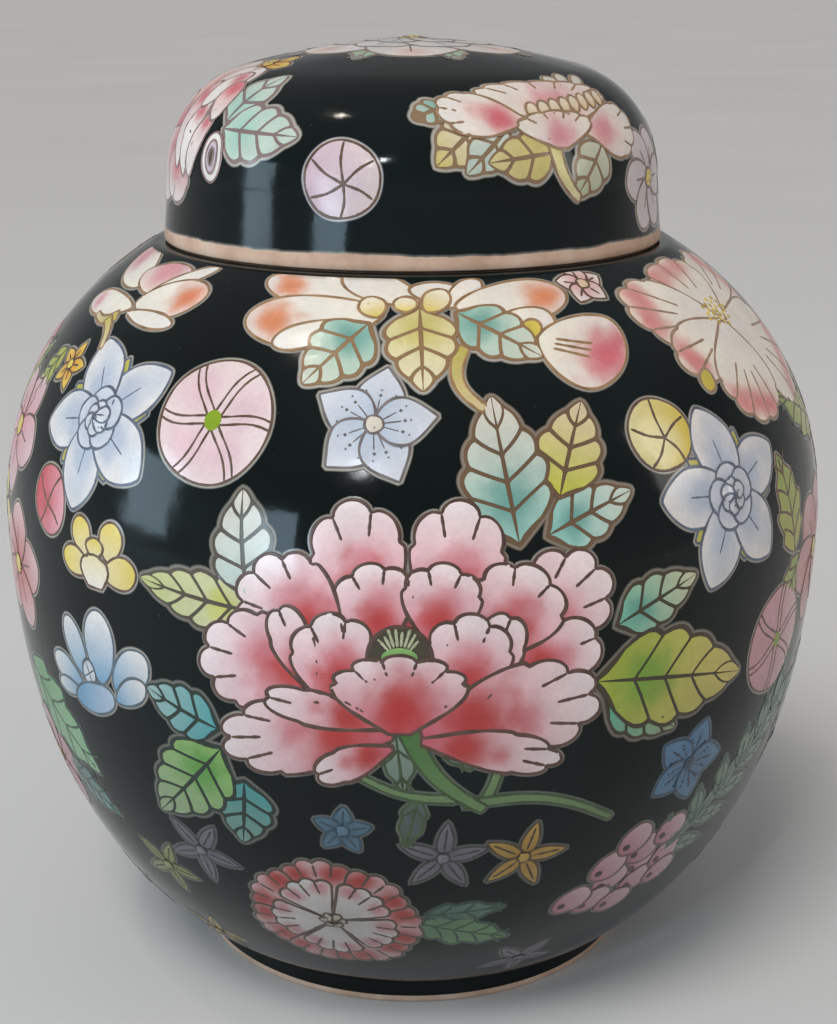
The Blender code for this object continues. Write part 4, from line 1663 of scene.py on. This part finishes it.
def back_of_lid():
    """The lid's flowers on the side the photograph doesn't show."""
    lid_rose("lid_rose_back", 118, 20, mirror=-1)
    lid_peony("lid_peony_back", -152, 20, mirror=-1)
    bud("lid_bud_back", 166, 12.6, 10.6, 11.2, 5, *LID_BUD, 100,
        make=lid_canvas)
    bud("lid_bud_side", -98, 12.6, 10.6, 11.2, 5, *LID_BUD, 40,
        make=lid_canvas)
    for name, azimuth, length in (("lid_star_side", 90, 12.5), ("lid_star_back", -124, 11),
                                  ("lid_star_high", 154, 27)):
        canvas = lid_canvas(name, azimuth, length)
        star(canvas, star_tips(5, 7, azimuth), 4.6, ORANGE, YELLOW, centre=1.5, widest=0.55, tip=0.6)
        canvas.finish()
    for k, (azimuth, length, turn) in enumerate(((-92, 27, 20), (98, 26, -30), (-172, 26, 60))):
        single_leaf(f"lid_leaf_{k + 1}", azimuth, length, turn, 13, 8, srgb(190, 214, 200),
                    srgb(206, 212, 200), 3, 4, make=lid_canvas)


back_of_jar()
back_of_lid()

make_jar()
make_lid()


def camera():
    """The photograph's view: a little above the lid, looking down at the belly."""
    data = bpy.data.cameras.new("camera")
    data.sensor_width = 36.0
    data.lens = CAMERA_LENS
    data.shift_x = CAMERA_SHIFT
    seen = bpy.data.objects.new("camera", data)
    seen.location = CAMERA_PLACE
    seen.rotation_euler = (math.radians(90 - CAMERA_PITCH), 0.0, 0.0)
    bpy.context.scene.collection.objects.link(seen)
    bpy.context.scene.camera = seen


def soft_light(name, place, aim, width, height, power, colour):
    """A rectangular lamp that points from its place to its aim."""
    data = bpy.data.lights.new(name, "AREA")
    data.shape = "RECTANGLE"
    data.size = width
    data.size_y = height
    data.energy = power
    data.color = colour
    lamp = bpy.data.objects.new(name, data)
    lamp.location = place
    lamp.rotation_euler = (Vector(aim) - Vector(place)).to_track_quat("-Z", "Y").to_euler()
    bpy.context.scene.collection.objects.link(lamp)


def studio():
    """A pale floor and room, a soft sun, three windows, a small lamp and a soft light on the right."""
    made, tree, shader = new_material("pale_floor")
    point = object_point(tree)
    colour = ramp(tree, noise_of(tree, point, 3.0),
                  [(0.3, srgb(198, 198, 198)), (0.7, srgb(203, 203, 203))])
    link(tree, colour, shader.inputs["Base Color"])
    shader.inputs["Roughness"].default_value = 0.85
    mesh = bpy.data.meshes.new("floor")
    reach = 40.0
    mesh.from_pydata([(-reach, -reach, 0), (reach, -reach, 0), (reach, reach, 0), (-reach, reach, 0)],
                     [], [(0, 1, 2, 3)])
    mesh.materials.append(made)
    floor = bpy.data.objects.new("floor", mesh)
    bpy.context.scene.collection.objects.link(floor)
    world = bpy.data.worlds.new("room")
    bpy.context.scene.world = world
    world.use_nodes = True
    tree = world.node_tree
    sky = tree.nodes["Background"]
    where = add(tree, "ShaderNodeTexCoord").outputs["Generated"]
    split = add(tree, "ShaderNodeSeparateXYZ")
    link(tree, where, split.inputs["Vector"])
    shade = ramp(tree, span(tree, split.outputs["Z"], -1.0, 1.0, 0.0, 1.0),
                 [(0.0, (0.50, 0.50, 0.50)), (0.52, (0.58, 0.58, 0.58)), (0.70, (0.34, 0.35, 0.36)),
                  (1.0, (0.62, 0.62, 0.62))])
    link(tree, shade, sky.inputs["Color"])
    sky.inputs["Strength"].default_value = 0.66
    sun = bpy.data.lights.new("sun", "SUN")
    sun.energy = 1.75
    sun.angle = math.radians(24)
    sun.color = (1.0, 0.965, 0.92)
    lamp = bpy.data.objects.new("sun", sun)
    lamp.rotation_euler = Vector((0.25, 0.55, -0.9)).to_track_quat("-Z", "Y").to_euler()
    lamp.visible_glossy = False
    bpy.context.scene.collection.objects.link(lamp)
    soft_light("window_left", (-0.48, -0.66, 0.17), (0, 0, 0.09), 0.20, 0.27, 1.5, (0.58, 0.82, 1.0))
    soft_light("window_side", (-0.84, -0.26, 0.24), (0, 0, 0.09), 0.24, 0.34, 2.0, (0.62, 0.84, 1.0))
    soft_light("lamp_above", (-0.34, -0.14, 0.95), (0, 0, 0.1), 0.05, 0.05, 0.5, (1.0, 0.92, 0.80))
    soft_light("window_front", (-0.22, -0.85, 0.62), (0, 0, 0.08), 0.04, 0.06, 0.6, (0.95, 0.97, 1.0))
    soft_light("soft_right", (0.9, -0.25, 0.45), (0, 0, 0.08), 0.2, 0.4, 1.1, (1.0, 0.97, 0.92))


camera()
studio()
bpy.context.scene.view_settings.view_transform = "Standard"
